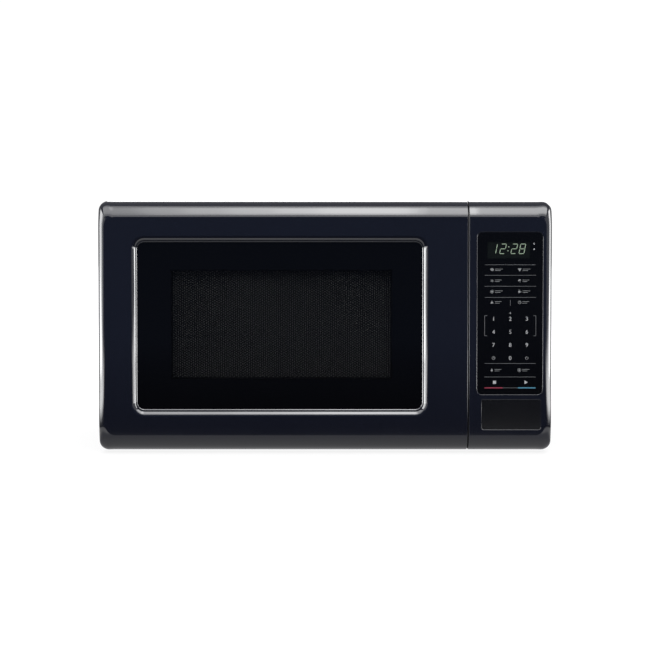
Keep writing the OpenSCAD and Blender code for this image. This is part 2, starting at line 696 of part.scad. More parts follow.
module display_module() color([0.2, 0.9, 0.4])
    block([display_x[0] - 4, front_y + 4, display_z[0] - 4],
        [display_x[1] + 4, front_y + 12, display_z[1] + 4]);

module control_board() color([0.1, 0.35, 0.2]) {
    difference() {
        block([panel_x0 + 6, board_y, 60], [half_w - 6, board_y + 1.6, 222]);
        for (x = [panel_x0 + 12, half_w - 8], z = [66, 216]) rod_y(board_y - 1, board_y + 3, x, z, 1.7);
    }
}

module board_components() color([0.2, 0.25, 0.6]) {
    y = board_y + 1.7;
    for (z = [84, 108]) block([152, y, z], [172, y + 15, z + 16]);
    block([180, y, 78], [208, y + 20, 112]);
    rod_y(y, y + 9, 162, 150, 7);
    rod_y(y, y + 14, 190, 140, 5);
    block([156, y, 180], [196, y + 3, 192]);
    block([178, y, 200], [206, y + 8, 208]);
}

module release_button() color([0.05, 0.05, 0.07]) {
    x = [button_cx - button_w / 2, button_cx + button_w / 2];
    z = [button_cz - button_h / 2, button_cz + button_h / 2];
    plate_y(x[0], x[1], z[0], z[1], front_y + 0.4, front_y + 3, 1.2);
    difference() {
        plate_y(x[0], x[1], z[0], z[1], front_y + 2.9, front_y + 12, 1.2);
        plate_y(x[0] + 1.8, x[1] - 1.8, z[0] + 1.8, z[1] - 1.8, front_y + 2.8, front_y + 13, 0.6);
    }
    block([post_x[0], front_y + 2.5, post_z[0]], [post_x[1], lever_y - 2.8, post_z[1]]);
    rod_y(front_y + 2.5, front_y + 14, button_spring_x, button_cz, 2.2);
}

module button_spring() color([0.7, 0.7, 0.72]) {
    wire = 0.45;
    length = spring_seat_y - front_y - 3 - 2 * wire - 0.3;
    translate([button_spring_x, spring_seat_y - wire - 0.15, button_cz]) rotate([90, 0, 0])
        helix(3.6, length / 7, 7, wire);
}

// Bracket behind the flange, with a tongue that carries the hinge pin
module hinge(z, up) {
    leg = up ? [z - 24, z + bracket_t] : [z, z + 26];
    pin = up ? [z - 4.5, z + 0.5] : [z + bracket_t - 0.5, z + bracket_t + 4.5];
    difference() {
        union() {
            rod_z(z, z + bracket_t, hinge_x, hinge_y, tab_r);
            block([hinge_x - tab_r, hinge_y, z], [hinge_x + tab_r, flange_y + 2.7, z + bracket_t]);
            block([-frame_x + 0.2, flange_y + 1.1, leg[0]], [cavity_x0 - 2.5, flange_y + 2.7, leg[1]]);
        }
        for (dz = up ? [-18, -8] : [10, 20]) rod_y(flange_y, flange_y + 4, -209, z + dz, 1.6);
    }
    rod_z(pin[0], pin[1], hinge_x, hinge_y, hinge_pin_r);
}

module upper_hinge() color([0.72, 0.73, 0.75]) hinge(upper_bracket_z, true);
module lower_hinge() color([0.72, 0.73, 0.75]) hinge(lower_bracket_z, false);

module hinge_screws() color([0.6, 0.61, 0.63]) {
    for (z = [upper_bracket_z - 18, upper_bracket_z - 8, lower_bracket_z + 10, lower_bracket_z + 20]) {
        rod_y(flange_y + 0.05, flange_y + 1.05, -209, z, 3.8);
        rod_y(flange_y + 1, flange_y + 8, -209, z, 1.5);
    }
}

module cord_gland() color([0.04, 0.04, 0.04]) {
    translate([gland_x, panel_rear, gland_z]) rotate([-90, 0, 0]) rotate_extrude()
        polygon([[gland_r, -8], [9.6, -8], [9.6, -1.2], [8, -1.2], [8, 0.1], [10.5, 0.1],
            [10.5, 2.4], [gland_r, 2.4]]);
}

module filter_board() color([0.15, 0.35, 0.2]) {
    z = base_z + 62;
    block([172, 118, z], [212, 160, z + 1.6]);
    rod_z(z + 1.5, z + 16, 184, 130, 8);
    block([196, 122, z + 1.5], [206, 150, z + 12]);
    for (x = [175, 209], y = [121, 157]) rod_z(base_z + sheet + 0.1, z + 0.1, x, y, 2);
}

module window_plate(w, h, r, y, t)
    plate_y(window_cx - w / 2, window_cx + w / 2, mid_z - h / 2, mid_z + h / 2, y, y + t, r);

module door_frame() color([0.12, 0.12, 0.15]) {
    ow = window_w + 2 * bezel_w;
    oh = window_h + 2 * bezel_w;
    ring_y = front_y + window_recess;
    difference() {
        union() {
            difference() {
                fascia(door_x0, door_x1, door_rear, true, false);
                fascia(door_x0, door_x1, door_rear + 1, true, false, fascia_wall, front_wall);
            }
            window_plate(ow + 2, oh + 2, bezel_r + 1, front_y + front_wall - 0.5,
                ring_y - front_y - front_wall + 0.5);
        }
        window_plate(window_w, window_h, window_r, front_y - 1, window_recess + 2);
        hull() {
            window_plate(ow, oh, bezel_r, front_y - 0.1, 0.1);
            window_plate(window_w + 2, window_h + 2, window_r + 1, ring_y - 2.5, 0.1);
        }
        for (z = [upper_bracket_z, lower_bracket_z])
            block([door_x0 - 1, hinge_y - 6, z - notch_gap],
                [hinge_x, door_rear + 1, z + bracket_t + notch_gap]);
    }
}

module door_window() color([0.01, 0.01, 0.015, 0.6]) {
    w = window_w / 2 + window_margin;
    h = window_h / 2 + window_margin;
    plate_y(window_cx - w, window_cx + w, mid_z - h, mid_z + h, pane_y0, pane_y0 + pane_t, 4);
}

// Inner steel panel: choke channel round a raised screen, with the hinge tabs
module door_screen() color([0.1, 0.1, 0.1]) {
    inner = [[-188, 34], [98, 216]];
    rear = choke_rear - choke_t - 0.1;
    difference() {
        union() {
            difference() {
                block([screen_x0, screen_y, screen_z0], [screen_x1, rear, screen_z1]);
                block([screen_x0 + sheet, screen_y + sheet, screen_z0 + sheet],
                    [screen_x1 - sheet, rear + 1, screen_z1 - sheet]);
            }
            block([inner[0][0], screen_y, inner[0][1]], [inner[1][0], plateau_y + sheet, inner[1][1]]);
            for (z = [upper_bracket_z - 0.5 - tab_t, lower_bracket_z + bracket_t + 0.5]) {
                block([hinge_x, hinge_y - tab_r, z], [screen_x0 + 0.5, hinge_y + tab_r, z + tab_t]);
                rod_z(z, z + tab_t, hinge_x, hinge_y, tab_r);
            }
        }
        block([inner[0][0] + sheet, screen_y - 1, inner[0][1] + sheet],
            [inner[1][0] - sheet, plateau_y, inner[1][1] - sheet]);
        block([mesh_x[0], plateau_y - 1, mesh_z[0]], [mesh_x[1], plateau_y + 2, mesh_z[1]]);
        rod_z(0, 300, hinge_x, hinge_y, hinge_pin_r + running);
    }
}

module screen_mesh() color([0.04, 0.04, 0.04])
    block([mesh_x[0], plateau_y + 0.2, mesh_z[0]], [mesh_x[1], plateau_y + 0.2 + mesh_t, mesh_z[1]]);

module choke_cover() color([0.08, 0.08, 0.09]) {
    x1 = door_x1 - fascia_wall - 0.3;
    difference() {
        union() {
            plate_y(screen_x0 - 1, x1, screen_z0 - 1, screen_z1 + 1, choke_rear - choke_t, choke_rear, 5);
            block([screen_x1 + 3, spring_y - 5, latch_seat_z], [x1 - 1, choke_rear - 1, latch_seat_z + 2]);
        }
        plate_y(-187, 97, 35, 215, choke_rear - choke_t - 1, choke_rear + 1, 5);
        for (h = [upper_hook, lower_hook])
            block([hook_x - 3.2, choke_rear - 3, h[0] - 3.5], [hook_x + 3.2, choke_rear + 1, h[1] + 4.5]);
    }
}

module inner_film() color([0.7, 0.75, 0.75, 0.35])
    plate_y(-186, 96, 36, 214, plateau_y + sheet + 0.1, plateau_y + sheet + 0.9, 4);

module latch_hooks() color([0.85, 0.85, 0.83]) {
    bar_y1 = slide_bar[1][1];
    block(slide_bar[0], slide_bar[1]);
    for (h = [upper_hook, lower_hook]) {
        block([hook_x - hook_t / 2, bar_y1 - 0.5, h[0]], [hook_x + hook_t / 2, hook_tip, h[1]]);
        block([hook_x - hook_t / 2, hook_tip - 6, h[0] - barb],
            [hook_x + hook_t / 2, hook_tip - 1, h[0] + 0.5]);
    }
}

module latch_spring() color([0.7, 0.7, 0.72]) {
    wire = 0.4;
    z0 = slide_bar[1][2] + wire + 0.15;
    length = latch_seat_z - z0 - wire - 0.15;
    translate([spring_x, spring_y, z0]) helix(2, length / 8, 8, wire);
}

cabinet_wrap();
base_plate();
rear_panel();
front_flange();
cavity_floor();
cavity_ceiling();
cavity_left_wall();
cavity_right_wall();
cavity_back_wall();
waveguide_cover();
waveguide();
magnetron_yoke();
magnetron_fins();
magnetron_tube();
magnetron_filter_box();
transformer_core();
transformer_windings();
capacitor();
capacitor_clamp();
diode();
fan_shroud();
fan_motor();
fan_blade();
air_duct();
turntable_motor();
drive_coupler();
roller_ring();
glass_tray();
oven_lamp();
thermal_cutouts();
latch_board();
door_switches();
switch_plungers();
release_lever();
control_panel();
keypad_overlay();
display_window();
display_module();
control_board();
board_components();
release_button();
button_spring();
upper_hinge();
lower_hinge();
feet();
cabinet_screws();
hinge_screws();
cord_gland();
filter_board();
door_frame();
door_window();
door_screen();
screen_mesh();
choke_cover();
inner_film();
latch_hooks();
latch_spring();
for (i = [1:wheel_count]) roller_wheel(i);
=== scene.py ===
"""Countertop microwave oven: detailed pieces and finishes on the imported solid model."""
import math

import bmesh
import bpy
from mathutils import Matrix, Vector


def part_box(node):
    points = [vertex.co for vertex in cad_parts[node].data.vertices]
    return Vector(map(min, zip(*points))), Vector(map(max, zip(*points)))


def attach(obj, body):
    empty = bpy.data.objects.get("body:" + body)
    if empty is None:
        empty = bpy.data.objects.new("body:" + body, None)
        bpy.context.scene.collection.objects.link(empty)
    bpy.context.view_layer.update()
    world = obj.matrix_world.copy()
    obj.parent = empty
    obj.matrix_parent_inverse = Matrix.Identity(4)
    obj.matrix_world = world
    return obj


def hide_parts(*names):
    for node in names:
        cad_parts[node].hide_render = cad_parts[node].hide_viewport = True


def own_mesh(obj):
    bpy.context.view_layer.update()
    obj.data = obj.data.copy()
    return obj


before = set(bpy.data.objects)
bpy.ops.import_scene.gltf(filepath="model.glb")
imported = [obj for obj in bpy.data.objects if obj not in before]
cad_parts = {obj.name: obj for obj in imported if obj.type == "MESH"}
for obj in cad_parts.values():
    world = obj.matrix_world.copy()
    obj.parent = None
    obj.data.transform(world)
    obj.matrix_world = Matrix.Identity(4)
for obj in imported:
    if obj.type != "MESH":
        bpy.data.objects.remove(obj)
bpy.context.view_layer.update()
MM = 0.001
FRONT_AXIS = Vector((0, -1, 0))


def span(node):
    """A node's box in millimetres, as (x0, x1), (y0, y1), (z0, z1)."""
    low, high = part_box(node)
    return [(low[i] / MM, high[i] / MM) for i in range(3)]


# ---------------------------------------------------------------- sizes
door_x, door_y, door_z = span("door_frame")
panel_x, panel_y = span("control_panel")[:2]
seam_left = 0.55    # the moulded seam lies this much left of the drawn one
door_x = (door_x[0], door_x[1] - seam_left)
panel_x = (panel_x[0] - seam_left, panel_x[1])
front_y = door_y[0]
top_z, bottom_z = door_z[1], door_z[0]
mid_z = (top_z + bottom_z) / 2
band_height, band_depth = 15.5, 19.5
band_lean = math.radians(77)
side_round = 6.5
outline_radius, face_corner_radius = 9.0, 10.0
seam_round = 0.4
wall, front_wall = 2.5, 3.0
overlay_x, overlay_y, overlay_z = span("keypad_overlay")
button_x, _, button_z = span("release_button")
display_x, display_y, display_z = span("display_window")
sheet_x, sheet_y, sheet_z = span("screen_mesh")
tray_x, tray_y, tray_z = span("glass_tray")


# ---------------------------------------------------------------- mesh tools
class Piece:
    """Patches of a surface in millimetres, joined into one mesh."""

    def __init__(self):
        self.mesh = bmesh.new()

    def points(self, row):
        return [self.mesh.verts.new(Vector(p) * MM) for p in row]

    def loft(self, rows, closed=True):
        rows = [self.points(row) for row in rows]
        for a, b in zip(rows, rows[1:]):
            n = len(a)
            for i in range(n if closed else n - 1):
                j = (i + 1) % n
                self.mesh.faces.new((a[i], a[j], b[j], b[i]))

    def cap(self, *loops):
        """A flat face inside the first loop, with the other loops as holes."""
        edges = []
        for loop in loops:
            verts = self.points(loop)
            edges += [self.mesh.edges.new((verts[i], verts[(i + 1) % len(verts)])) for i in range(len(verts))]
        bmesh.ops.triangle_fill(self.mesh, use_beauty=True, edges=edges)

    def solid_loft(self, rows):
        """Closed loops from one end to the other, with both ends filled."""
        self.loft(rows)
        self.cap(rows[0])
        self.cap(rows[-1])

    def box(self, x, y, z):
        self.solid_loft([[(x[i], d, z[k]) for i, k in ((0, 0), (1, 0), (1, 1), (0, 1))] for d in y])

    def tube(self, path, radius, sides=8):
        """A round wire along a path."""
        path = [Vector(p) for p in path]
        rows, side = [], None
        for i, p in enumerate(path):
            along = (path[min(i + 1, len(path) - 1)] - path[max(i - 1, 0)]).normalized()
            side = (side or along.orthogonal())
            side = (side - along * side.dot(along)).normalized()
            across = along.cross(side)
            turn = [2 * math.pi * k / sides for k in range(sides)]
            rows.append([p + (side * math.cos(t) + across * math.sin(t)) * radius for t in turn])
        self.solid_loft(rows)

    def lathe(self, profile, centre, steps=96):
        """Turns a closed profile of (radius, height) about a vertical axis."""
        rows = []
        for k in range(steps + 1):
            t = 2 * math.pi * (k % steps) / steps
            rows.append([(centre[0] + r * math.cos(t), centre[1] + r * math.sin(t), z) for r, z in profile])
        self.loft(rows)

    def finish(self, name, material, body, replaces=(), flat_front=None, angle=30, merge=0.004):
        mesh = self.mesh
        bmesh.ops.remove_doubles(mesh, verts=mesh.verts, dist=merge * MM)
        bmesh.ops.dissolve_degenerate(mesh, dist=1e-7, edges=mesh.edges)
        bmesh.ops.recalc_face_normals(mesh, faces=mesh.faces)
        data = bpy.data.meshes.new(name)
        mesh.to_mesh(data)
        mesh.free()
        piece = bpy.data.objects.new(name, data)
        bpy.context.scene.collection.objects.link(piece)
        mark_edges(piece, flat_front, angle)
        data.materials.append(material)
        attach(piece, body)
        if replaces:
            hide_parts(*replaces)
        return piece


def mark_edges(piece, flat_front=None, angle=30):
    """Smooth shading, with sharp edges at corners and round the flat front."""
    work = bmesh.new()
    work.from_mesh(piece.data)
    limit = math.radians(angle)

    def on_front(face):
        if flat_front is None or face.normal.dot(FRONT_AXIS) < 0.99999:
            return False
        return abs(face.calc_center_median().y / MM - flat_front) < 0.01

    for face in work.faces:
        face.smooth = True
    for edge in work.edges:
        if len(edge.link_faces) == 2:
            a, b = edge.link_faces
            turn = edge.calc_face_angle(0)
            edge.smooth = turn < limit and (on_front(a) == on_front(b) or turn < 0.001)
    work.to_mesh(piece.data)
    work.free()


def cut_boxes(piece, boxes):
    """Takes boxes out of a finished mesh."""
    cutter = Piece()
    for x, y, z in boxes:
        cutter.box(x, y, z)
    bmesh.ops.remove_doubles(cutter.mesh, verts=cutter.mesh.verts, dist=1e-6)
    bmesh.ops.recalc_face_normals(cutter.mesh, faces=cutter.mesh.faces)
    data = bpy.data.meshes.new("cutter")
    cutter.mesh.to_mesh(data)
    cutter.mesh.free()
    tool = bpy.data.objects.new("cutter", data)
    bpy.context.scene.collection.objects.link(tool)
    modifier = piece.modifiers.new("notches", "BOOLEAN")
    modifier.object, modifier.operation, modifier.solver = tool, "DIFFERENCE", "EXACT"
    bpy.context.view_layer.update()
    shape = bpy.data.meshes.new_from_object(piece.evaluated_get(bpy.context.evaluated_depsgraph_get()))
    piece.modifiers.clear()
    piece.data = shape
    bpy.data.objects.remove(tool)


def rounded_loop(x, z, y, radius, steps=8, sides=4):
    """A rounded rectangle across Y, as a closed loop with the same number of points for any size."""
    (x0, x1), (z0, z1) = x, z
    r = min(radius, (x1 - x0) / 2, (z1 - z0) / 2)
    corners = [(x1 - r, z1 - r, 0), (x0 + r, z1 - r, 90), (x0 + r, z0 + r, 180), (x1 - r, z0 + r, 270)]
    loop = []
    for i, (cx, cz, start) in enumerate(corners):
        for k in range(steps + 1):
            t = math.radians(start + 90 * k / steps)
            loop.append((cx + r * math.cos(t), y, cz + r * math.sin(t)))
        nx, nz, turn = corners[(i + 1) % 4]
        t = math.radians(turn)
        end = (nx + r * math.cos(t), y, nz + r * math.sin(t))
        here = loop[-1]
        for k in range(1, sides):
            s = k / sides
            loop.append((here[0] + (end[0] - here[0]) * s, y, here[2] + (end[2] - here[2]) * s))
    return loop


def grown(pair, by):
    return (pair[0] - by, pair[1] + by)


def smoothstep(t):
    return t * t * (3 - 2 * t)


def mix(a, b, t):
    return a + (b - a) * t


# ---------------------------------------------------------------- fascia
def band_columns(width, z_top, z_bottom):
    """The curved band round the front: for each column its outer point, inner point, depth and lean."""
    middle = (z_top + z_bottom) / 2
    corner_u = side_round + face_corner_radius
    corner_drop = band_height + face_corner_radius
    half = []
    for k in range(7):
        u = mix(width - seam_round, corner_u, k / 6)
        half.append(((u, z_top), (u, z_top - band_height), band_depth, band_lean))
    lead = corner_u - outline_radius
    arc_length = outline_radius * math.pi / 2
    tail = corner_drop - outline_radius
    steps = 20
    for k in range(1, steps + 1):
        t = k / steps
        run = t * (lead + arc_length + tail)
        if run < lead:
            outer = (corner_u - run, z_top)
        elif run < lead + arc_length:
            a = (run - lead) / outline_radius
            outer = (outline_radius * (1 - math.sin(a)), z_top - outline_radius * (1 - math.cos(a)))
        else:
            outer = (0, z_top - outline_radius - (run - lead - arc_length))
        a = t * math.pi / 2
        inner = (corner_u - face_corner_radius * math.sin(a),
                 z_top - corner_drop + face_corner_radius * math.cos(a))
        blend = smoothstep(t)
        half.append((outer, inner, mix(band_depth, side_round, blend), mix(band_lean, math.pi / 2, blend)))
    for k in range(1, 4):
        z = mix(z_top - corner_drop, middle, k / 4)
        half.append(((0, z), (side_round, z), side_round, math.pi / 2))
    mirrored = [((o[0], 2 * middle - o[1]), (i[0], 2 * middle - i[1]), d, lean) for o, i, d,
                lean in reversed(half)]
    return half + [((0, middle), (side_round, middle), side_round, math.pi / 2)] + mirrored


def band_profile(column, steps=14):
    """Points of one column, from the outline to the flat face."""
    outer, inner, depth, lean = column
    row = []
    for j in range(steps + 1):
        a = lean * j / steps
        f = (1 - math.cos(a)) / (1 - math.cos(lean))
        g = math.sin(a) / math.sin(lean)
        row.append((mix(outer[0], inner[0], f), front_y + depth * (1 - g), mix(outer[1], inner[1], f)))
    return row


def seam_edge(width, rear, z_top, z_bottom):
    """The small rounding where the front meets the seam, as rows from the face to the seam wall."""
    top = band_profile(((0, z_top), (0, z_top - band_height), band_depth, band_lean))
    path = [(rear, z_top, 0.0, 1.0)]
    for j, (_, y, z) in enumerate(top):
        a = band_lean * j / (len(top) - 1)
        path.append((y, z, -math.sin(a), math.cos(a)))
    low, high = z_bottom + band_height, z_top - band_height
    for k in range(0, 9):
        path.append((front_y, mix(high, low, k / 8), -1.0, 0.0))
    middle = (z_top + z_bottom) / 2
    path += [(y, 2 * middle - z, ny, -nz) for y, z, ny, nz in reversed(path[:len(top) + 1])]
    rows = []
    for k in range(5):
        a = math.pi / 2 * k / 4
        inset = seam_round * (1 - math.cos(a))
        u = width - seam_round + seam_round * math.sin(a)
        rows.append([(u, y - ny * inset, z - nz * inset) for y, z, ny, nz in path])
    return rows


def fascia(name, outer_x, seam_x, rear, material, body, node, openings):
    """One moulding of the front: curved bands, flat face with openings, rim and hollow back."""
    width = abs(seam_x - outer_x)
    sign = 1 if seam_x > outer_x else -1
    place = lambda p: (outer_x + sign * p[0], p[1], p[2])
    shell = Piece()
    columns = band_columns(width, top_z, bottom_z)
    rows = [[(c[0][0], rear, c[0][1])] + band_profile(c) for c in columns]
    shell.loft([[place(p) for p in row] for row in rows], closed=False)
    edge = seam_edge(width, rear, top_z, bottom_z)
    shell.loft([[place(p) for p in row] for row in edge], closed=False)
    shell.cap([place(p) for p in edge[-1]])
    face = [row[-1] for row in rows] + [p for p in edge[0] if abs(p[1] - front_y) < 1e-6][::-1]
    face = drop_repeats([place(p) for p in face])
    shell.cap(face, *[rings[0] for rings in openings])
    rim = [row[0] for row in rows] + [row[-1] for row in edge] + [row[0] for row in reversed(edge)]
    rim = drop_repeats([place(p) for p in rim])
    x = sorted((outer_x, seam_x))
    z = (bottom_z, top_z)
    inside = lambda inset, y, r: rounded_loop(grown(x, -min(inset, 5)), grown(z, -inset), y, r)
    hollow = [inside(wall, rear, 6.5), inside(3, front_y + 18, 6), inside(6, front_y + 8, 6),
              inside(12, front_y + front_wall, 5)]
    shell.cap(rim, hollow[0])
    shell.loft(hollow)
    shell.cap(hollow[-1], *[rings[-1] for rings in openings])
    for rings in openings:
        shell.loft(rings)
    return shell.finish(name, material, body, (node,), flat_front=front_y)


def drop_repeats(loop):
    kept = []
    for p in loop:
        if not kept or (Vector(p) - Vector(kept[-1])).length > 0.005:
            kept.append(p)
    if (Vector(kept[0]) - Vector(kept[-1])).length < 0.005:
        kept.pop()
    return kept


def window_rings():
    """The window opening: a rolled bezel, a thin groove, a lip and the back of the ring."""
    roll_in, lip = 4.5, 1.25
    lean = [math.radians(mix(7, 48, k / 12)) for k in range(13)]
    roll = roll_in / (math.sin(lean[-1]) - math.sin(lean[0]))
    x = (-188.5, 100.5)
    z = (mid_z - 87.6, mid_z + 87.6)
    radius = 13
    ring = lambda inset, deep: rounded_loop(grown(x, -inset), grown(z, -inset), front_y + deep,
                                            max(radius - inset, 4))
    rings = [ring(0, 0)]
    rings += [ring(roll * (math.sin(a) - math.sin(lean[0])),
                   0.15 + roll * (math.cos(lean[0]) - math.cos(a))) for a in lean]
    low_step = 0.7
    stepped = lambda inset: (z[0] + inset + low_step, z[1] - inset)
    lip_ring = lambda inset, deep: rounded_loop(grown(x, -inset), stepped(inset), front_y + deep,
                                                max(radius - inset, 4))
    groove, lip_deep = roll_in + 0.2, 2.9
    rings += [ring(roll_in + 0.05, lip_deep + 0.3), lip_ring(groove, lip_deep + 0.3),
              lip_ring(groove, lip_deep + 0.1), lip_ring(groove + 0.1, lip_deep)]
    lip_lean = [math.radians(mix(8, 50, k / 10)) for k in range(11)]
    turn = lip / (math.sin(lip_lean[-1]) - math.sin(lip_lean[0]))
    for a in lip_lean[1:]:
        rings.append(lip_ring(groove + 0.1 + turn * (math.sin(a) - math.sin(lip_lean[0])),
                              lip_deep + turn * (math.cos(lip_lean[0]) - math.cos(a))))
    inner = groove + 0.1 + lip
    rings += [lip_ring(inner, 6.5), ring(-0.9, 6.5), ring(-0.9, front_wall)]
    return rings


def pocket_rings(x, z, radius, deep, lip=0.5):
    """A pocket with a rounded rim, down to the back of the front wall."""
    rings = []
    for k in range(5):
        a = math.pi / 2 * k / 4
        rings.append(rounded_loop(grown(x, lip * (1 - math.sin(a))), grown(z, lip * (1 - math.sin(a))),
                                  front_y + lip * (1 - math.cos(a)), radius + lip * (1 - math.sin(a))))
    rings.append(rounded_loop(x, z, front_y + deep, radius))
    return rings


def door_fascia(material):
    door = fascia("door_moulding", door_x[0], door_x[1], door_y[1], material, "door", "door_frame",
                  [window_rings()])
    slots = []
    for hinge in ("upper_hinge", "lower_hinge"):
        x, y, z = span(hinge)
        plate = (z[1] - 2, z[1]) if hinge == "upper_hinge" else (z[0], z[0] + 2)
        slots.append((grown((door_x[0], door_x[0] + 5), 0.5), (y[0] - 3, door_y[1] + 1), grown(plate, 0.6)))
    cut_boxes(door, slots)
    mark_edges(door, front_y)
    return door


def panel_fascia(material):
    pocket = pocket_rings(grown(overlay_x, 0.3), grown(overlay_z, 0.3), 5.2, 0.9, 0.45)
    window = [rounded_loop(grown(display_x, 0.2), grown(display_z, 0.2), front_y + d,
                           0.6) for d in (0.9, front_wall)]
    key = pocket_rings(grown(button_x, 0.3), grown(button_z, 0.3), 1.5, front_wall, 0.5)
    return fascia("panel_moulding", panel_x[1], panel_x[0], panel_y[1], material, "oven", "control_panel",
                  [pocket + window, key])


def spring_seat(material):
    """The web behind the release button, with a hole for its post."""
    web = Piece()
    y = (front_y + 23, front_y + 25)
    x, z = (panel_x[0] + 1.2, panel_x[1] - 1.2), (bottom_z + 10, button_z[1] + 4)
    post = [(152.5, 159.5), (33, 38)]
    outer = lambda d: rounded_loop(x, z, d, 1.5)
    inner = lambda d: rounded_loop(post[0], post[1], d, 0.5)
    web.loft([outer(y[0]), outer(y[1])])
    web.loft([inner(y[0]), inner(y[1])])
    for d in y:
        web.cap(outer(d), inner(d))
    return web.finish("button_web", material, "oven")


# ---------------------------------------------------------------- perforated sheet
def perforated_sheet(material):
    """Punched sheet: staggered rows of holes inside a plain border."""
    column_pitch, row_pitch, hole = 2.11, 2.44, 0.8
    columns = int((sheet_x[1] - sheet_x[0] - 2) / column_pitch)
    rows = int((sheet_z[1] - sheet_z[0] - 2) / row_pitch)
    x0 = (sum(sheet_x) - columns * column_pitch) / 2
    z0 = (sum(sheet_z) - rows * row_pitch) / 2
    verts, index, faces = [], {}, []

    def vert(x, y, z):
        key = (round(x * 500), round(y * 500), round(z * 500))
        if key not in index:
            index[key] = len(verts)
            verts.append((x * MM, y * MM, z * MM))
        return index[key]

    def both(ring):
        faces.append([vert(x, sheet_y[0], z) for x, z in ring])
        faces.append([vert(x, sheet_y[1], z) for x, z in reversed(ring)])

    for c in range(columns):
        xa = x0 + c * column_pitch
        xb = xa + column_pitch
        shift = row_pitch / 2 if c % 2 else 0
        if shift:
            top = z0 + rows * row_pitch
            both([(xa, z0), (xb, z0), (xb, z0 + shift), (xa, z0 + shift)])
            both([(xa, top - shift), (xb, top - shift), (xb, top), (xa, top)])
        for r in range(rows - (1 if shift else 0)):
            za = z0 + shift + r * row_pitch
            zm, zb = za + row_pitch / 2, za + row_pitch
            rim = [(xb, zm), (xb, zb), (xa, zb), (xa, zm), (xa, za), (xb, za)]
            mid_x = (xa + xb) / 2
            turn = [math.radians(60 * k) for k in range(6)]
            ring = [(mid_x + hole * math.cos(t), zm + hole * math.sin(t)) for t in turn]
            for k in range(6):
                j = (k + 1) % 6
                both([rim[j], rim[k], ring[k], ring[j]])
                faces.append([vert(ring[k][0], sheet_y[0], ring[k][1]),
                              vert(ring[k][0], sheet_y[1], ring[k][1]),
                              vert(ring[j][0], sheet_y[1], ring[j][1]),
                              vert(ring[j][0], sheet_y[0], ring[j][1])])
    xe, ze = x0 + columns * column_pitch, z0 + rows * row_pitch
    for c in range(columns):
        xa, xb = x0 + c * column_pitch, x0 + (c + 1) * column_pitch
        both([(xa, sheet_z[0]), (xb, sheet_z[0]), (xb, z0), (xa, z0)])
        both([(xa, ze), (xb, ze), (xb, sheet_z[1]), (xa, sheet_z[1])])
    steps = [sheet_z[0]] + [z0 + k * row_pitch / 2 for k in range(2 * rows + 1)] + [sheet_z[1]]
    for a, b in zip(steps, steps[1:]):
        both([(sheet_x[0], a), (x0, a), (x0, b), (sheet_x[0], b)])
        both([(xe, a), (sheet_x[1], a), (sheet_x[1], b), (xe, b)])
    data = bpy.data.meshes.new("perforated_sheet")
    data.from_pydata(verts, [], faces)
    work = bmesh.new()
    work.from_mesh(data)
    open_edges = [e for e in work.edges if len(e.link_faces) == 1]
    bmesh.ops.bridge_loops(work, edges=open_edges)
    bmesh.ops.recalc_face_normals(work, faces=work.faces)
    work.to_mesh(data)
    work.free()
    piece = bpy.data.objects.new("perforated_sheet", data)
    bpy.context.scene.collection.objects.link(piece)
    data.materials.append(material)
    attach(piece, "door")
    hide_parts("screen_mesh")
    return piece


# ---------------------------------------------------------------- turntable and springs
def glass_tray(material):
    """Pressed glass tray with a raised rim, ripples and three lugs."""
    centre = (sum(tray_x) / 2, sum(tray_y) / 2)
    radius = (tray_x[1] - tray_x[0]) / 2 - 0.2
    low, high = tray_z
    under = low + 4.5
    thick = 4
    flat = radius - 22
    rise = 26
    turn = math.radians(55)
    upper, lower = [], []
    for k in range(57):
        r = flat * k / 56
        ripple = 0.35 * math.cos(r / 9 * 2 * math.pi) if 18 < r < flat - 4 else 0.35
        lower.append((r, under))
        upper.append((r, under + thick + ripple - 0.35))
    for k in range(1, 9):
        a = turn * k / 8
        lower.append((flat + rise * math.sin(a), under + rise * (1 - math.cos(a))))
        upper.append((flat + (rise - thick) * math.sin(a),
                      under + thick + (rise - thick) * (1 - math.cos(a))))
    bead = 1.5
    cap = [(radius - bead + bead * math.cos(math.radians(t)), high - bead + bead * math.sin(math.radians(t)))
           for t in range(-30, 181, 30)]
    profile = [(max(r, 0.01), z) for r, z in lower + cap + upper[::-1]]
    tray = Piece()
    tray.lathe(profile, centre, 120)
    for k in range(3):
        a = math.radians(60 + 120 * k)
        out, across = Vector((math.cos(a), math.sin(a), 0)), Vector((-math.sin(a), math.cos(a), 0))
        base = Vector((centre[0], centre[1], 0))
        rows = []
        for z, s in ((under - 0.05, 1), (low + 0.8, 0.95), (low, 0.8)):
            rows.append([base + out * (17.5 + 4.5 * s * i) + across * (4 * s * j) + Vector((0, 0, z))
                         for i, j in ((-1, -1), (1, -1), (1, 1), (-1, 1))])
        tray.solid_loft(rows)
    return tray.finish("tray", material, "tray", ("glass_tray",), angle=40)


def coil(radius, length, turns, steps=20):
    """A helix that rises along Z with closed end turns."""
    path = []
    for i in range(turns * steps + 1):
        t = i / steps
        rise = min(max((t - 0.6) / (turns - 1.2), 0), 1)
        path.append((radius * math.cos(2 * math.pi * t), radius * math.sin(2 * math.pi * t),
                     0.25 * min(t, 1) + (length - 0.5) * rise + 0.25 * max(t - turns + 1, 0)))
    return path


def button_return_spring(material):
    x, y, z = span("button_spring")
    centre = (sum(x) / 2, sum(z) / 2)
    wire = 0.45
    path = [(centre[0] + a, y[1] - wire - h, centre[1] + b) for a, b, h in
            coil((x[1] - x[0]) / 2 - wire, y[1] - y[0] - 2 * wire, 7)]
    spring = Piece()
    spring.tube(path, wire * 0.97)
    piece = spring.finish("button_coil", material, "oven", ("button_spring",), angle=60)
    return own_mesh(piece)


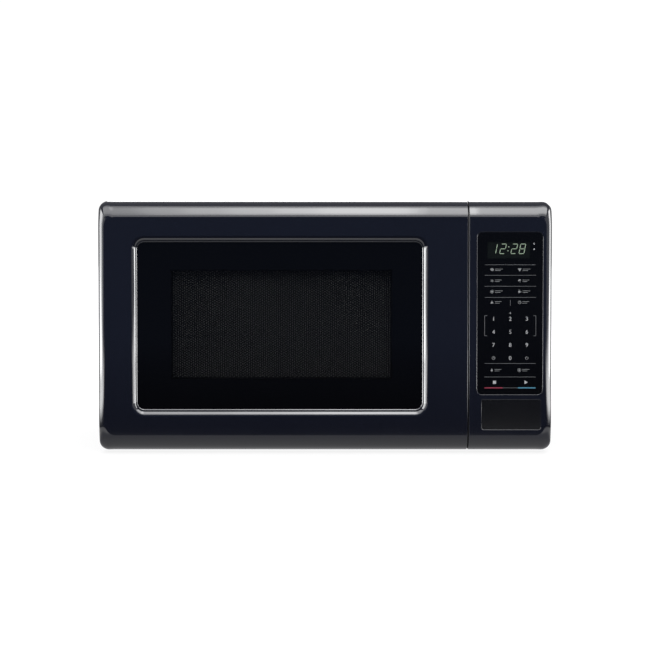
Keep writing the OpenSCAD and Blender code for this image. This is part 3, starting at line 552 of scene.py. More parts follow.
def latch_return_spring(material):
    x, y, z = span("latch_spring")
    centre = (sum(x) / 2, sum(y) / 2)
    wire = 0.4
    path = [(centre[0] + a, centre[1] + b, z[0] + wire + h) for a, b, h in
            coil((x[1] - x[0]) / 2 - wire, z[1] - z[0] - 2 * wire, 8)]
    spring = Piece()
    spring.tube(path, wire * 0.97)
    piece = spring.finish("latch_coil", material, "door", ("latch_spring",), angle=60)
    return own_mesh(piece)


def rear_screws(material):
    """Pan head screws with a cross recess, at the places of the solid ones."""
    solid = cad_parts["cabinet_screws"]
    head_y = span("cabinet_screws")[1][1]
    heads = {}
    for v in solid.data.vertices:
        if v.co.y / MM > head_y - 0.05:
            key = (round(v.co.x / MM / 12), round(v.co.z / MM / 12))
            heads.setdefault(key, []).append(v.co / MM)
    screws = Piece()
    for group in heads.values():
        cx = (min(p.x for p in group) + max(p.x for p in group)) / 2
        cz = (min(p.z for p in group) + max(p.z for p in group)) / 2
        ring = lambda r, d: [(cx + r * math.cos(math.radians(t)), head_y - d,
                              cz + r * math.sin(math.radians(t)))
                             for t in range(0, 360, 15)]
        cross = []
        for q in range(4):
            a = math.radians(90 * q)
            for u, v in ((1.7, -0.35), (1.7, 0.35), (0.4, 0.4)):
                cross.append((cx + u * math.cos(a) - v * math.sin(a), cz + u * math.sin(a) + v * math.cos(a)))
        slot = lambda s, d: [(cx + (x - cx) * s, head_y - d, cz + (z - cz) * s) for x, z in cross]
        dome = [ring(3.6 * math.cos(math.radians(t)),
                     1.9 - 1.9 * math.sin(math.radians(t))) for t in range(0, 61, 12)]
        screws.cap(ring(1.5, 10))
        screws.loft([ring(1.5, 10), ring(1.5, 2), ring(3.6, 2)] + dome)
        screws.cap(dome[-1], slot(1, 1.9 - 1.9 * math.sin(math.radians(60))))
        screws.loft([slot(1, 1.9 - 1.9 * math.sin(math.radians(60))), slot(0.6, 1.7)])
        screws.cap(slot(0.6, 1.7))
    return screws.finish("rear_screws", material, "oven", ("cabinet_screws",), angle=35)


def swept_fan(material):
    """Hub and shaft with curved, twisted blades."""
    x, y, z = span("fan_blade")
    sx, _, sz = span("fan_shroud")
    centre = Vector((sum(sx) / 2, 0, sum(sz) / 2))
    hub_y = (y[1] - 14, y[1] - 1)
    middle, reach = sum(hub_y) / 2, 38
    fan = Piece()
    circle = lambda r, d: [(centre.x + r * math.cos(math.radians(t)), d,
                            centre.z + r * math.sin(math.radians(t)))
                           for t in range(0, 360, 10)]
    fan.solid_loft([circle(2, y[0]), circle(2, hub_y[0])])
    fan.solid_loft([circle(8, hub_y[0]), circle(9, hub_y[0] + 1), circle(9, hub_y[1] - 2),
                    circle(7.5, hub_y[1])])
    for blade in range(5):
        start = 2 * math.pi * blade / 5
        faces = []
        for side in (-0.5, 0.5):
            grid = []
            for i in range(9):
                r = mix(8.5, reach, i / 8)
                half = mix(0.35, 0.42, i / 8) * (1 if i < 7 else 0.9 - 0.12 * (i - 7))
                row = []
                for j in range(7):
                    s = j / 6 - 0.5
                    a = start + 2 * half * s
                    d = middle - s * mix(9, 11, i / 8) + 1.6 * math.cos(math.pi * s) - 1 + side
                    row.append((centre.x + r * math.sin(a), d, centre.z + r * math.cos(a)))
                grid.append(row)
            faces.append(grid)
            fan.loft(grid, closed=False)
        front, back = faces
        border = lambda g: g[0] + [row[-1] for row in g[1:]] + g[-1][-2::-1] + [row[0] for row in g[-2:0:-1]]
        fan.loft([border(front), border(back)])
    return fan.finish("fan_wheel", material, "fan", ("fan_blade",), angle=40)


# ---------------------------------------------------------------- keypad printing
def ink(name, outlines, y, material, thick=0.06):
    """Flat printed shapes on the overlay, from closed outlines of (x, z)."""
    mark = Piece()
    for outline in outlines:
        mark.solid_loft([[(x, d, z) for x, z in outline] for d in (y - thick, y + thick / 2)])
    return mark.finish(name, material, "oven", angle=20, merge=0.0005)


def bar(x0, x1, z, thick):
    return [(x0, z - thick / 2), (x1, z - thick / 2), (x1, z + thick / 2), (x0, z + thick / 2)]


def post(x, z0, z1, thick):
    return [(x - thick / 2, z0), (x + thick / 2, z0), (x + thick / 2, z1), (x - thick / 2, z1)]


def disc(x, z, r, sides=14):
    return [(x + r * math.cos(2 * math.pi * k / sides),
             z + r * math.sin(2 * math.pi * k / sides)) for k in range(sides)]


def arc_band(x, z, r, thick, start, end, steps=10):
    turn = [math.radians(mix(start, end, k / steps)) for k in range(steps + 1)]
    outer = [(x + (r + thick / 2) * math.cos(t), z + (r + thick / 2) * math.sin(t)) for t in turn]
    inner = [(x + (r - thick / 2) * math.cos(t), z + (r - thick / 2) * math.sin(t)) for t in turn]
    return outer + inner[::-1]


def digit_marks(places, height, y, material):
    """Plain digits, made from the built-in letter shapes."""
    made = Piece()
    for text, x, z in places:
        curve = bpy.data.curves.new("digit", "FONT")
        curve.body, curve.size, curve.extrude, curve.resolution_u = text, 1, 0, 3
        source = bpy.data.objects.new("digit", curve)
        bpy.context.scene.collection.objects.link(source)
        bpy.context.view_layer.update()
        shape = source.to_mesh()
        xs, zs = [v.co.x for v in shape.vertices], [v.co.y for v in shape.vertices]
        scale = height / (max(zs) - min(zs))
        cx, cz = (max(xs) + min(xs)) / 2, (max(zs) + min(zs)) / 2
        layers = []
        for d in (y - 0.06, y + 0.03):
            layers.append([made.mesh.verts.new(Vector((x + (v.co.x - cx) * scale, d,
                                                       z + (v.co.y - cz) * scale)) * MM)
                           for v in shape.vertices])
        for poly in shape.polygons:
            made.mesh.faces.new([layers[0][i] for i in poly.vertices])
            made.mesh.faces.new([layers[1][i] for i in reversed(poly.vertices)])
        count = {}
        for poly in shape.polygons:
            for a, b in poly.edge_keys:
                count[(a, b)] = count.get((a, b), 0) + 1
        for (a, b), n in count.items():
            if n == 1:
                made.mesh.faces.new((layers[0][a], layers[0][b], layers[1][b], layers[1][a]))
        source.to_mesh_clear()
        bpy.data.objects.remove(source)
    return made.finish("key_digits", material, "oven", angle=20, merge=0.0005)


def icon(kind, x, z, s=1.0):
    """A small generic picture for one key, as a list of outlines."""
    if kind == "cup":
        return [[(x - s, z - s), (x + 0.6 * s, z - s), (x + 0.8 * s, z + 0.5 * s),
                 (x - 1.2 * s, z + 0.5 * s)],
                arc_band(x + 0.9 * s, z - 0.2 * s, 0.45 * s, 0.25 * s, -80, 80, 6),
                post(x - 0.6 * s, z + 0.8 * s, z + 1.5 * s,
                     0.25 * s), post(x + 0.1 * s, z + 0.8 * s, z + 1.5 * s, 0.25 * s)]
    if kind == "puffs":
        return [disc(x + i * s, z + k * s, 0.55 * s, 9) for i,
                k in ((-0.9, 0.5), (0, 0.9), (0.9, 0.5), (-0.4, -0.5), (0.5, -0.5))]
    if kind == "clock":
        return [arc_band(x, z, 1.2 * s, 0.3 * s, 0, 358, 20), post(x, z, z + 0.8 * s, 0.28 * s),
                bar(x, x + 0.7 * s, z, 0.28 * s)]
    if kind == "snow":
        out = []
        for k in range(3):
            a = math.radians(60 * k + 30)
            c, n = math.cos(a) * 1.3 * s, math.sin(a) * 1.3 * s
            w = Vector((-n, c)).normalized() * 0.14 * s
            out.append([(x - c - w.x, z - n - w.y), (x + c - w.x, z + n - w.y),
                        (x + c + w.x, z + n + w.y), (x - c + w.x, z - n + w.y)])
        return out
    if kind == "slice":
        return [[(x - 1.4 * s, z + 0.8 * s), (x + 1.4 * s, z + 0.8 * s), (x, z - 1.4 * s)],
                bar(x - 1.5 * s, x + 1.5 * s, z + 1.2 * s, 0.4 * s)]
    if kind == "leaf":
        return [arc_band(x, z, 0.7 * s, 1.2 * s, 20, 200, 10), post(x + 0.4 * s, z - 1.4 * s, z, 0.3 * s)]
    if kind == "plate":
        return [arc_band(x, z, 1.3 * s, 0.25 * s, 0, 358, 20), disc(x, z, 0.7 * s, 14)]
    if kind == "weight":
        return [[(x - 1.2 * s, z - s), (x + 1.2 * s, z - s), (x + 0.7 * s, z + 0.5 * s),
                 (x - 0.7 * s, z + 0.5 * s)],
                arc_band(x, z + 0.8 * s, 0.4 * s, 0.25 * s, -20, 200, 8)]
    if kind == "power":
        return [arc_band(x, z, 1.1 * s, 0.3 * s, 120, 420, 16), post(x, z + 0.3 * s, z + 1.5 * s, 0.3 * s)]
    if kind == "flame":
        return [[(x - 0.9 * s, z - 0.6 * s), (x, z - 1.2 * s), (x + 0.9 * s, z - 0.6 * s),
                 (x + 0.6 * s, z + 0.4 * s), (x, z + 1.5 * s), (x - 0.5 * s, z + 0.3 * s)]]
    if kind == "stop":
        return [[(x - s, z - s), (x + s, z - s), (x + s, z + s), (x - s, z + s)]]
    return [[(x - 0.8 * s, z - 1.1 * s), (x + 1.2 * s, z), (x - 0.8 * s, z + 1.1 * s)]]


def keypad_printing(white, soft, grey, red, blue):
    y = overlay_y[0]
    cx = sum(overlay_x) / 2 + 0.3
    top = overlay_z[1]
    key = 16.1
    pitch = 12.7
    first = top - 83.6
    digits = [(str(3 * r + c + 1), cx + (c - 1) * key, first - r * pitch)
              for r in range(3) for c in range(3)]
    digits.append(("0", cx, first - 3 * pitch))
    digit_marks(digits, 3.8, y, white)
    half = 24.8
    lines = [bar(cx - half, cx + half, top - drop, 0.35) for drop in (31.3, 41.5, 52.1, 62.9, 127.0, 140.1)]
    ink("key_lines", lines + [post(cx, top - 71, top - 65.5, 0.35)], y, grey)
    side = [post(cx + s * half, first - 16.5, first + 3, 0.4) for s in (-1, 1)]
    ends = [sorted((cx + s * half, cx + s * (half - 2.4))) for s in (-1, 1)]
    ticks = [bar(*end, z, 0.4) for end in ends for z in (first - 16.5, first + 3)]
    ink("key_brackets", side + ticks, y, grey)
    left, right = cx - 13.6, cx + 13.1
    beside = lambda x, z, wide: [bar(x, x + wide, z + 0.75, 0.32), bar(x, x + wide * 0.7, z - 0.75, 0.32)]
    rows = [("puffs", "slice", 36.2), ("snow", "leaf", 46.8), ("plate", "cup", 57.3),
            ("weight", "clock", 67.7)]
    marks, labels = [], []
    for n, (first_kind, second_kind, drop) in enumerate(rows):
        for kind, x in ((first_kind, left), (second_kind, right)):
            marks += icon(kind, x - 4.2, top - drop, 1.15)
            labels += beside(x - 1.4, top - drop, 7.5 - n % 2)
    labels += beside(left - 1.4, top - 133.5, 6.5) + beside(right - 1.4, top - 133.5, 7)
    ink("key_label_lines", labels, y, soft)
    marks += icon("flame", cx, top - 78, 0.8)
    marks += icon("clock", cx - key, first - 3 * pitch, 1.2)
    marks += icon("power", cx + key, first - 3 * pitch, 1.2)
    marks += icon("flame", left - 4.2, top - 133.5, 1.2) + icon("plate", right - 4.2, top - 133.5, 1.2)
    ink("key_pictures", marks, y, soft)
    large = icon("stop", left - 1.5, top - 145.3, 1.5) + icon("start", right + 2.2, top - 145.3, 1.6)
    ink("start_and_stop_pictures", large, y, white)
    ink("stop_bar", [bar(cx - half, cx - 7.2, top - 150.7, 1.1)], y, red)
    ink("start_bar", [bar(cx + 7.6, cx + half, top - 150.7, 1.1)], y, blue)
    ink("bar_link", [bar(cx - 7.0, cx + 7.4, top - 150.7, 0.35)], y, grey)


# ---------------------------------------------------------------- clock
SEGMENTS = {"1": "bc", "2": "abged", "8": "abcdefg"}


def clock_digits(material):
    """Leaning seven-segment digits and a colon, on the display's surface."""
    y = display_y[0] - 0.12
    height, width, thick, lean = 9.3, 4.8, 0.62, 0.2
    centre_x, centre_z = sum(display_x) / 2, sum(display_z) / 2 + 1.1
    starts = [centre_x + shift for shift in (-16.7, -8.0, 2.9, 10.7)]
    slant = lambda x, z: (x + (z - centre_z) * lean, z)

    def segment(x0, z0, x1, z1):
        a, b = Vector((x0, z0)), Vector((x1, z1))
        along = (b - a).normalized()
        across = Vector((-along.y, along.x)) * thick / 2
        a, b = a + along * 0.22, b - along * 0.22
        tip = along * thick / 2
        ring = (a, a + tip + across, b - tip + across, b, b - tip - across, a + tip - across)
        return [slant(p.x, p.y) for p in ring]

    shapes = []
    for text, x in zip("1228", starts):
        low, mid, high = centre_z - height / 2, centre_z, centre_z + height / 2
        right = x + width
        lines = {"a": (x, high, right, high), "b": (right, high, right, mid), "c": (right, mid, right, low),
                 "d": (x, low, right, low), "e": (x, mid, x, low), "f": (x, high, x, mid),
                 "g": (x, mid, right, mid)}
        shapes += [segment(*lines[k]) for k in SEGMENTS[text]]
    for dz in (-1.9, 1.9):
        px, pz = slant(centre_x - 0.4, centre_z + dz)
        shapes.append(disc(px, pz, 0.55, 10))
    digits = Piece()
    for outline in shapes:
        digits.solid_loft([[(x, d, z) for x, z in outline] for d in (y, y + 0.15)])
    return digits.finish("clock_digits", material, "oven", angle=20, merge=0.0005)


def indicator_marks(material):
    x, top = overlay_x[1] - 8.3, overlay_z[1] - 11
    shapes = [arc_band(x, top, 0.7, 0.3, 0, 350, 12), post(x, top - 0.2, top + 0.6, 0.25),
              disc(x, top - 5.2, 0.75, 12)]
    return ink("indicator_marks", shapes, overlay_y[0], material)


# ---------------------------------------------------------------- shared surface effects
FLOAT, COLOUR = "NodeSocketFloat", "NodeSocketColor"


def group(name, inputs, outputs):
    """An empty shared effect, with its named sockets."""
    tree = bpy.data.node_groups.new(name, "ShaderNodeTree")
    for label, kind, value in inputs:
        socket = tree.interface.new_socket(name=label, in_out="INPUT", socket_type=kind)
        socket.default_value = value
    for label, kind in outputs:
        tree.interface.new_socket(name=label, in_out="OUTPUT", socket_type=kind)
    return tree, tree.nodes.new("NodeGroupInput"), tree.nodes.new("NodeGroupOutput")


def node(tree, kind, links=None, **settings):
    """A node with its settings, and links from other sockets into its named inputs."""
    made = tree.nodes.new(kind)
    for key, value in settings.items():
        if key.startswith("in_"):
            made.inputs[int(key[3:]) if key[3:].isdigit() else key[3:]].default_value = value
        else:
            setattr(made, key, value)
    for target, source in (links or {}).items():
        tree.links.new(source, made.inputs[target])
    return made


def object_place(tree):
    """Where a point lies on its own object."""
    return node(tree, "ShaderNodeTexCoord").outputs["Object"]


def calculate(tree, operation, first, second, clamp=False):
    """One sum on a socket and a second socket or number."""
    made = node(tree, "ShaderNodeMath", {0: first}, operation=operation, use_clamp=clamp)
    if isinstance(second, (int, float)):
        made.inputs[1].default_value = second
    else:
        tree.links.new(second, made.inputs[1])
    return made.outputs[0]


def remap(tree, value, source, target):
    """Carries one range of a value over to another, held at its ends."""
    made = node(tree, "ShaderNodeMapRange", {"Value": value})
    for socket, level in zip(made.inputs[1:5], (*source, *target)):
        socket.default_value = level
    return made.outputs[0]


def mottle_group():
    """Slow colour drift between two colours."""
    inputs = [("Colour A", COLOUR, (0.5, 0.5, 0.5, 1)), ("Colour B", COLOUR, (0.6, 0.6, 0.6, 1)),
              ("Scale", FLOAT, 20.0)]
    tree, start, end = group("mottle", inputs, [("Colour", COLOUR)])
    place = object_place(tree)
    noise = node(tree, "ShaderNodeTexNoise", {"Vector": place, "Scale": start.outputs["Scale"]},
                 in_Detail=4.0, in_Roughness=0.6)
    blend = node(tree, "ShaderNodeMix", {"Factor": noise.outputs["Fac"]}, data_type="RGBA")
    tree.links.new(start.outputs["Colour A"], blend.inputs[6])
    tree.links.new(start.outputs["Colour B"], blend.inputs[7])
    tree.links.new(blend.outputs[2], end.inputs["Colour"])
    return tree


def grain_group():
    """Fine surface grain: a roughness that varies and a height for bump."""
    inputs = [("Scale", FLOAT, 500.0), ("Roughness", FLOAT, 0.3), ("Spread", FLOAT, 0.1)]
    tree, start, end = group("grain", inputs, [("Roughness", FLOAT), ("Height", FLOAT)])
    place = object_place(tree)
    fine = node(tree, "ShaderNodeTexNoise", {"Vector": place, "Scale": start.outputs["Scale"]}, in_Detail=3.0)
    slow = node(tree, "ShaderNodeTexNoise", {"Vector": place}, in_Scale=14.0, in_Detail=5.0,
                in_Roughness=0.65)
    shifted = calculate(tree, "SUBTRACT", slow.outputs["Fac"], 0.5)
    spread = calculate(tree, "MULTIPLY", shifted, start.outputs["Spread"])
    total = calculate(tree, "ADD", spread, start.outputs["Roughness"], clamp=True)
    tree.links.new(total, end.inputs["Roughness"])
    tree.links.new(fine.outputs["Fac"], end.inputs["Height"])
    return tree


def brushed_group():
    """Fine lines along X, for rolled and brushed metal."""
    inputs = [("Scale", FLOAT, 300.0), ("Stretch", "NodeSocketVector", (0.02, 1, 1))]
    tree, start, end = group("brushed", inputs, [("Lines", FLOAT)])
    place = object_place(tree)
    stretch = node(tree, "ShaderNodeVectorMath", {0: place, 1: start.outputs["Stretch"]},
                   operation="MULTIPLY")
    noise = node(tree, "ShaderNodeTexNoise",
                 {"Vector": stretch.outputs[0], "Scale": start.outputs["Scale"]},
                 in_Detail=4.0, in_Roughness=0.7)
    tree.links.new(noise.outputs["Fac"], end.inputs["Lines"])
    return tree


def spangle_group():
    """Crystal patches of zinc coating."""
    tree, start, end = group("spangle", [("Scale", FLOAT, 120.0)], [("Patches", FLOAT)])
    place = object_place(tree)
    bend = node(tree, "ShaderNodeTexNoise", {"Vector": place}, in_Scale=60.0)
    moved = node(tree, "ShaderNodeVectorMath", {0: bend.outputs["Color"]}, operation="SCALE", in_Scale=0.006)
    together = node(tree, "ShaderNodeVectorMath", {0: place, 1: moved.outputs[0]}, operation="ADD")
    cells = node(tree, "ShaderNodeTexVoronoi",
                 {"Vector": together.outputs[0], "Scale": start.outputs["Scale"]})
    grey = node(tree, "ShaderNodeRGBToBW", {0: cells.outputs["Color"]})
    tree.links.new(grey.outputs[0], end.inputs["Patches"])
    return tree


def edge_group():
    """A mask that is bright on exposed edges."""
    tree, start, end = group("worn_edges", [("Width", FLOAT, 0.0006), ("Amount", FLOAT, 1.0)],
                             [("Mask", FLOAT)])
    soft = node(tree, "ShaderNodeBevel", {"Radius": start.outputs["Width"]}, samples=4)
    shape = node(tree, "ShaderNodeNewGeometry")
    same = node(tree, "ShaderNodeVectorMath", {0: soft.outputs[0], 1: shape.outputs["Normal"]},
                operation="DOT_PRODUCT")
    away = remap(tree, same.outputs["Value"], (1.0, 0.75), (0.0, 1.0))
    place = object_place(tree)
    noise = node(tree, "ShaderNodeTexNoise", {"Vector": place}, in_Scale=140.0, in_Detail=5.0)
    broken = remap(tree, noise.outputs["Fac"], (0.42, 0.62), (0.0, 1.0))
    both = calculate(tree, "MULTIPLY", away, broken)
    scaled = calculate(tree, "MULTIPLY", both, start.outputs["Amount"], clamp=True)
    tree.links.new(scaled, end.inputs["Mask"])
    return tree


def dust_group():
    """A thin mask of dust on what faces up."""
    tree, start, end = group("dust", [("Amount", FLOAT, 0.1)], [("Mask", FLOAT)])
    shape = node(tree, "ShaderNodeNewGeometry")
    parts = node(tree, "ShaderNodeSeparateXYZ", {0: shape.outputs["Normal"]})
    up = remap(tree, parts.outputs["Z"], (0.4, 1.0), (0.0, 1.0))
    place = object_place(tree)
    noise = node(tree, "ShaderNodeTexNoise", {"Vector": place}, in_Scale=45.0, in_Detail=6.0,
                 in_Roughness=0.7)
    both = calculate(tree, "MULTIPLY", up, noise.outputs["Fac"])
    scaled = calculate(tree, "MULTIPLY", both, start.outputs["Amount"], clamp=True)
    tree.links.new(scaled, end.inputs["Mask"])
    return tree


GROUPS = {"mottle": mottle_group(), "grain": grain_group(), "brushed": brushed_group(),
          "spangle": spangle_group(),
          "worn_edges": edge_group(), "dust": dust_group()}


def place_group(tree, name, **values):
    made = tree.nodes.new("ShaderNodeGroup")
    made.node_tree = GROUPS[name]
    for key, value in values.items():
        made.inputs[key.replace("_", " ")].default_value = value
    return made


def blend_colour(tree, factor, first, second):
    """Mix of two colours; each is a socket or a colour."""
    made = node(tree, "ShaderNodeMix", data_type="RGBA")
    tree.links.new(factor, made.inputs[0])
    for index, value in ((6, first), (7, second)):
        if isinstance(value, tuple):
            made.inputs[index].default_value = (*value, 1)
        else:
            tree.links.new(value, made.inputs[index])
    return made.outputs[2]


def surface(name, colour_a, colour_b, rough, spread=0.08, grain=600.0, bump=0.05, scale=20.0, metal=0.0,
            **sockets):
    """A material with drifting colour, varied roughness and fine bump, and the nodes to build on."""
    material = bpy.data.materials.new(name)
    material.use_nodes = True
    tree = material.node_tree
    shader = tree.nodes["Principled BSDF"]
    tint = place_group(tree, "mottle", Colour_A=(*colour_a, 1), Colour_B=(*colour_b, 1), Scale=scale)
    skin = place_group(tree, "grain", Scale=grain, Roughness=rough, Spread=spread)
    tree.links.new(tint.outputs["Colour"], shader.inputs["Base Color"])
    tree.links.new(skin.outputs["Roughness"], shader.inputs["Roughness"])
    relief = node(tree, "ShaderNodeBump", {"Height": skin.outputs["Height"]}, in_Strength=bump,
                  in_Distance=0.0002)
    tree.links.new(relief.outputs[0], shader.inputs["Normal"])
    shader.inputs["Metallic"].default_value = metal
    for key, value in sockets.items():
        shader.inputs[key.replace("_", " ")].default_value = value
    return material, tree, shader, tint.outputs["Colour"], relief


def worn(tree, shader, colour, edge_colour, amount=0.6, width=0.0006):
    edges = place_group(tree, "worn_edges", Width=width, Amount=amount)
    tree.links.new(blend_colour(tree, edges.outputs["Mask"], colour, edge_colour),
                   shader.inputs["Base Color"])


def dusty(tree, shader, amount=0.05):
    colour = shader.inputs["Base Color"].links[0].from_socket
    dust = place_group(tree, "dust", Amount=amount)
    tree.links.new(blend_colour(tree, dust.outputs["Mask"], colour, (0.35, 0.34, 0.32)),
                   shader.inputs["Base Color"])


# ---------------------------------------------------------------- finishes
def gloss_fascia():
    material, tree, shader, *_ = surface(
        "gloss_fascia", (0.0056, 0.0066, 0.0124), (0.0066, 0.0078, 0.0146),
        rough=0.08, spread=0.05, grain=900.0, bump=0.01, scale=9.0, IOR=1.7)
    dusty(tree, shader, 0.01)
    # Painted shade: within the seam between door and panel the walls turn near black and matt, so the gap
    # between the parts reads dark.
    seam = (door_x[1] + panel_x[0]) / 2
    reach = (panel_x[0] - door_x[1]) / 2
    place = object_place(tree)
    offset = node(tree, "ShaderNodeVectorMath", {0: place}, operation="SUBTRACT", in_1=(seam * MM, 0, 0))
    parts = node(tree, "ShaderNodeSeparateXYZ", {0: offset.outputs[0]})
    away = node(tree, "ShaderNodeMath", {0: parts.outputs["X"]}, operation="ABSOLUTE")
    seam_shade_and_matt = remap(tree, away.outputs[0], ((reach + 0.02) * MM, (reach + 0.08) * MM), (1.0, 0.0))
    polish, tint = (shader.inputs[key].links[0].from_socket for key in ("Roughness", "Base Color"))
    rough = node(tree, "ShaderNodeMix", {0: seam_shade_and_matt, 2: polish}, in_3=0.8)
    tree.links.new(rough.outputs[0], shader.inputs["Roughness"])
    tree.links.new(blend_colour(tree, seam_shade_and_matt, tint, (0.0008, 0.0008, 0.0008)), shader.inputs["Base Color"])
    return material


def satin_button():
    return surface(
        "satin_button", (0.0024, 0.0026, 0.0034), (0.0034, 0.0036, 0.0048),
        rough=0.22, spread=0.08, grain=1500.0, bump=0.04, scale=30.0, IOR=1.5)[0]


def membrane():
    return surface(
        "membrane", (0.0006, 0.0006, 0.0009), (0.0010, 0.0010, 0.0014),
        rough=0.16, spread=0.06, grain=1200.0, bump=0.02, scale=25.0, IOR=1.45)[0]


def printed(name, colour):
    darker = tuple(c * 0.82 for c in colour)
    return surface(
        name, colour, darker,
        rough=0.45, spread=0.1, grain=2500.0, bump=0.1, scale=300.0)[0]


def smoked_glass():
    """Tinted pane with a black printed border round the clear field."""
    material, tree, shader, *_ = surface(
        "smoked_glass", (0.0008, 0.0008, 0.001), (0.0014, 0.0014, 0.0018),
        rough=0.03, spread=0.02, grain=60.0, bump=0.002, scale=12.0, IOR=1.5)
    place = object_place(tree)
    offset = node(tree, "ShaderNodeVectorMath", {0: place}, operation="SUBTRACT",
                  in_1=(sum(sheet_x) / 2 * MM, 0, sum(sheet_z) / 2 * MM))
    size = node(tree, "ShaderNodeVectorMath", {0: offset.outputs[0]}, operation="ABSOLUTE")
    parts = node(tree, "ShaderNodeSeparateXYZ", {0: size.outputs[0]})
    beyond = [node(tree, "ShaderNodeMath", {0: parts.outputs[axis]}, operation="SUBTRACT",
                   in_1=(ends[1] - ends[0]) / 2 * MM)
              for axis, ends in (("X", sheet_x), ("Z", sheet_z))]
    most = calculate(tree, "MAXIMUM", beyond[0].outputs[0], beyond[1].outputs[0])
    print_mask = remap(tree, most, (-0.0012, 0.0002), (0.33, 1.0))
    tree.links.new(print_mask, shader.inputs["Alpha"])
    return material


def display_tint():
    material, _, shader, *_ = surface(
        "display_tint", (0.0055, 0.007, 0.0065), (0.007, 0.009, 0.008),
        rough=0.06, spread=0.03, grain=200.0, bump=0.005, scale=60.0, IOR=1.45)
    shader.inputs["Alpha"].default_value = 0.9
    return material


def hazy_film():
    material, _, shader, *_ = surface(
        "hazy_film", (0.66, 0.69, 0.68), (0.84, 0.87, 0.86),
        rough=0.3, spread=0.1, grain=400.0, bump=0.03, scale=18.0, IOR=1.45)
    shader.inputs["Alpha"].default_value = 0.29
    return material


def pressed_glass():
    material, _, shader, *_ = surface(
        "pressed_glass", (0.9, 0.965, 0.955), (0.94, 0.98, 0.97),
        rough=0.04, spread=0.03, grain=90.0, bump=0.02, scale=15.0, IOR=1.5)
    shader.inputs["Transmission Weight"].default_value = 1.0
    return material


def lamp_glass():
    material, _, shader, *_ = surface(
        "lamp_glass", (0.95, 0.9, 0.78), (0.98, 0.95, 0.86),
        rough=0.08, spread=0.05, grain=90.0, bump=0.02, scale=30.0, IOR=1.45)
    shader.inputs["Transmission Weight"].default_value = 0.8
    return material


def lit_segment():
    material, tree, shader, *_ = surface(
        "lit_segment", (0.1, 0.14, 0.1), (0.12, 0.17, 0.12),
        rough=0.4, spread=0.1, grain=800.0, bump=0.02, scale=200.0)
    glow = place_group(tree, "mottle", Colour_A=(0.72, 0.92, 0.66, 1), Colour_B=(0.8, 0.97, 0.74, 1),
                       Scale=300.0)
    tree.links.new(glow.outputs["Colour"], shader.inputs["Emission Color"])
    shader.inputs["Emission Strength"].default_value = 0.3
    return material


def powder_coat():
    material, tree, shader, colour, *_ = surface(
        "powder_coat", (0.010, 0.010, 0.011), (0.015, 0.015, 0.016),
        rough=0.5, spread=0.1, grain=1700.0, bump=0.35, scale=16.0, IOR=1.4)
    worn(tree, shader, colour, (0.08, 0.08, 0.08), 0.5, 0.0005)
    dusty(tree, shader, 0.05)
    return material


def zinc_steel(name="zinc_steel", level=1.0):
    grey = lambda *parts: tuple(part * level for part in parts)
    material, tree, shader, colour, *_ = surface(
        name, grey(0.50, 0.52, 0.53), grey(0.60, 0.61, 0.62),
        rough=0.36, spread=0.16, grain=400.0, bump=0.06, scale=25.0, metal=1.0)
    patches = place_group(tree, "spangle", Scale=110.0)
    tree.links.new(blend_colour(tree, patches.outputs["Patches"], colour, grey(0.72, 0.74, 0.76)),
                   shader.inputs["Base Color"])
    worn(tree, shader, shader.inputs["Base Color"].links[0].from_socket, grey(0.85, 0.86, 0.87), 0.5)
    return material


def grey_enamel():
    material, tree, shader, colour, *_ = surface(
        "grey_enamel", (0.50, 0.50, 0.48), (0.56, 0.56, 0.54),
        rough=0.26, spread=0.1, grain=700.0, bump=0.10, scale=12.0, IOR=1.5)
    place = object_place(tree)
    specks = node(tree, "ShaderNodeTexNoise", {"Vector": place}, in_Scale=900.0, in_Detail=1.0)
    mask = remap(tree, specks.outputs["Fac"], (0.66, 0.72), (0.0, 0.7))
    tree.links.new(blend_colour(tree, mask, colour, (0.25, 0.25, 0.24)), shader.inputs["Base Color"])
    worn(tree, shader, shader.inputs["Base Color"].links[0].from_socket, (0.62, 0.62, 0.6), 0.4)
    return material


def black_enamel():
    return surface(
        "black_enamel", (0.003, 0.003, 0.003), (0.005, 0.005, 0.005),
        rough=0.34, spread=0.1, grain=900.0, bump=0.08, scale=14.0, IOR=1.5)[0]


def black_plastic():
    material, tree, shader, colour, *_ = surface(
        "black_plastic", (0.016, 0.016, 0.017), (0.024, 0.024, 0.025),
        rough=0.46, spread=0.1, grain=1300.0, bump=0.25, scale=18.0)
    worn(tree, shader, colour, (0.06, 0.06, 0.06), 0.4)
    return material


def nylon(name="nylon", a=(0.62, 0.61, 0.56), b=(0.70, 0.69, 0.65)):
    return surface(
        name, a, b,
        rough=0.38, spread=0.12, grain=900.0, bump=0.12, scale=35.0, Subsurface_Weight=0.05)[0]


def mica():
    material, tree, shader, colour, *_ = surface(
        "mica", (0.50, 0.43, 0.30), (0.62, 0.55, 0.41),
        rough=0.32, spread=0.2, grain=300.0, bump=0.2, scale=90.0)
    flakes = place_group(tree, "spangle", Scale=260.0)
    tree.links.new(blend_colour(tree, flakes.outputs["Patches"], colour, (0.74, 0.68, 0.55)),
                   shader.inputs["Base Color"])
    return material


def aluminium():
    material, tree, shader, colour, *_ = surface(
        "aluminium", (0.70, 0.71, 0.72), (0.80, 0.81, 0.82),
        rough=0.3, spread=0.15, grain=500.0, bump=0.04, scale=30.0, metal=1.0)
    lines = place_group(tree, "brushed", Scale=500.0, Stretch=(1, 0.02, 1))
    tree.links.new(blend_colour(tree, lines.outputs["Lines"], colour, (0.6, 0.6, 0.61)),
                   shader.inputs["Base Color"])
    return material


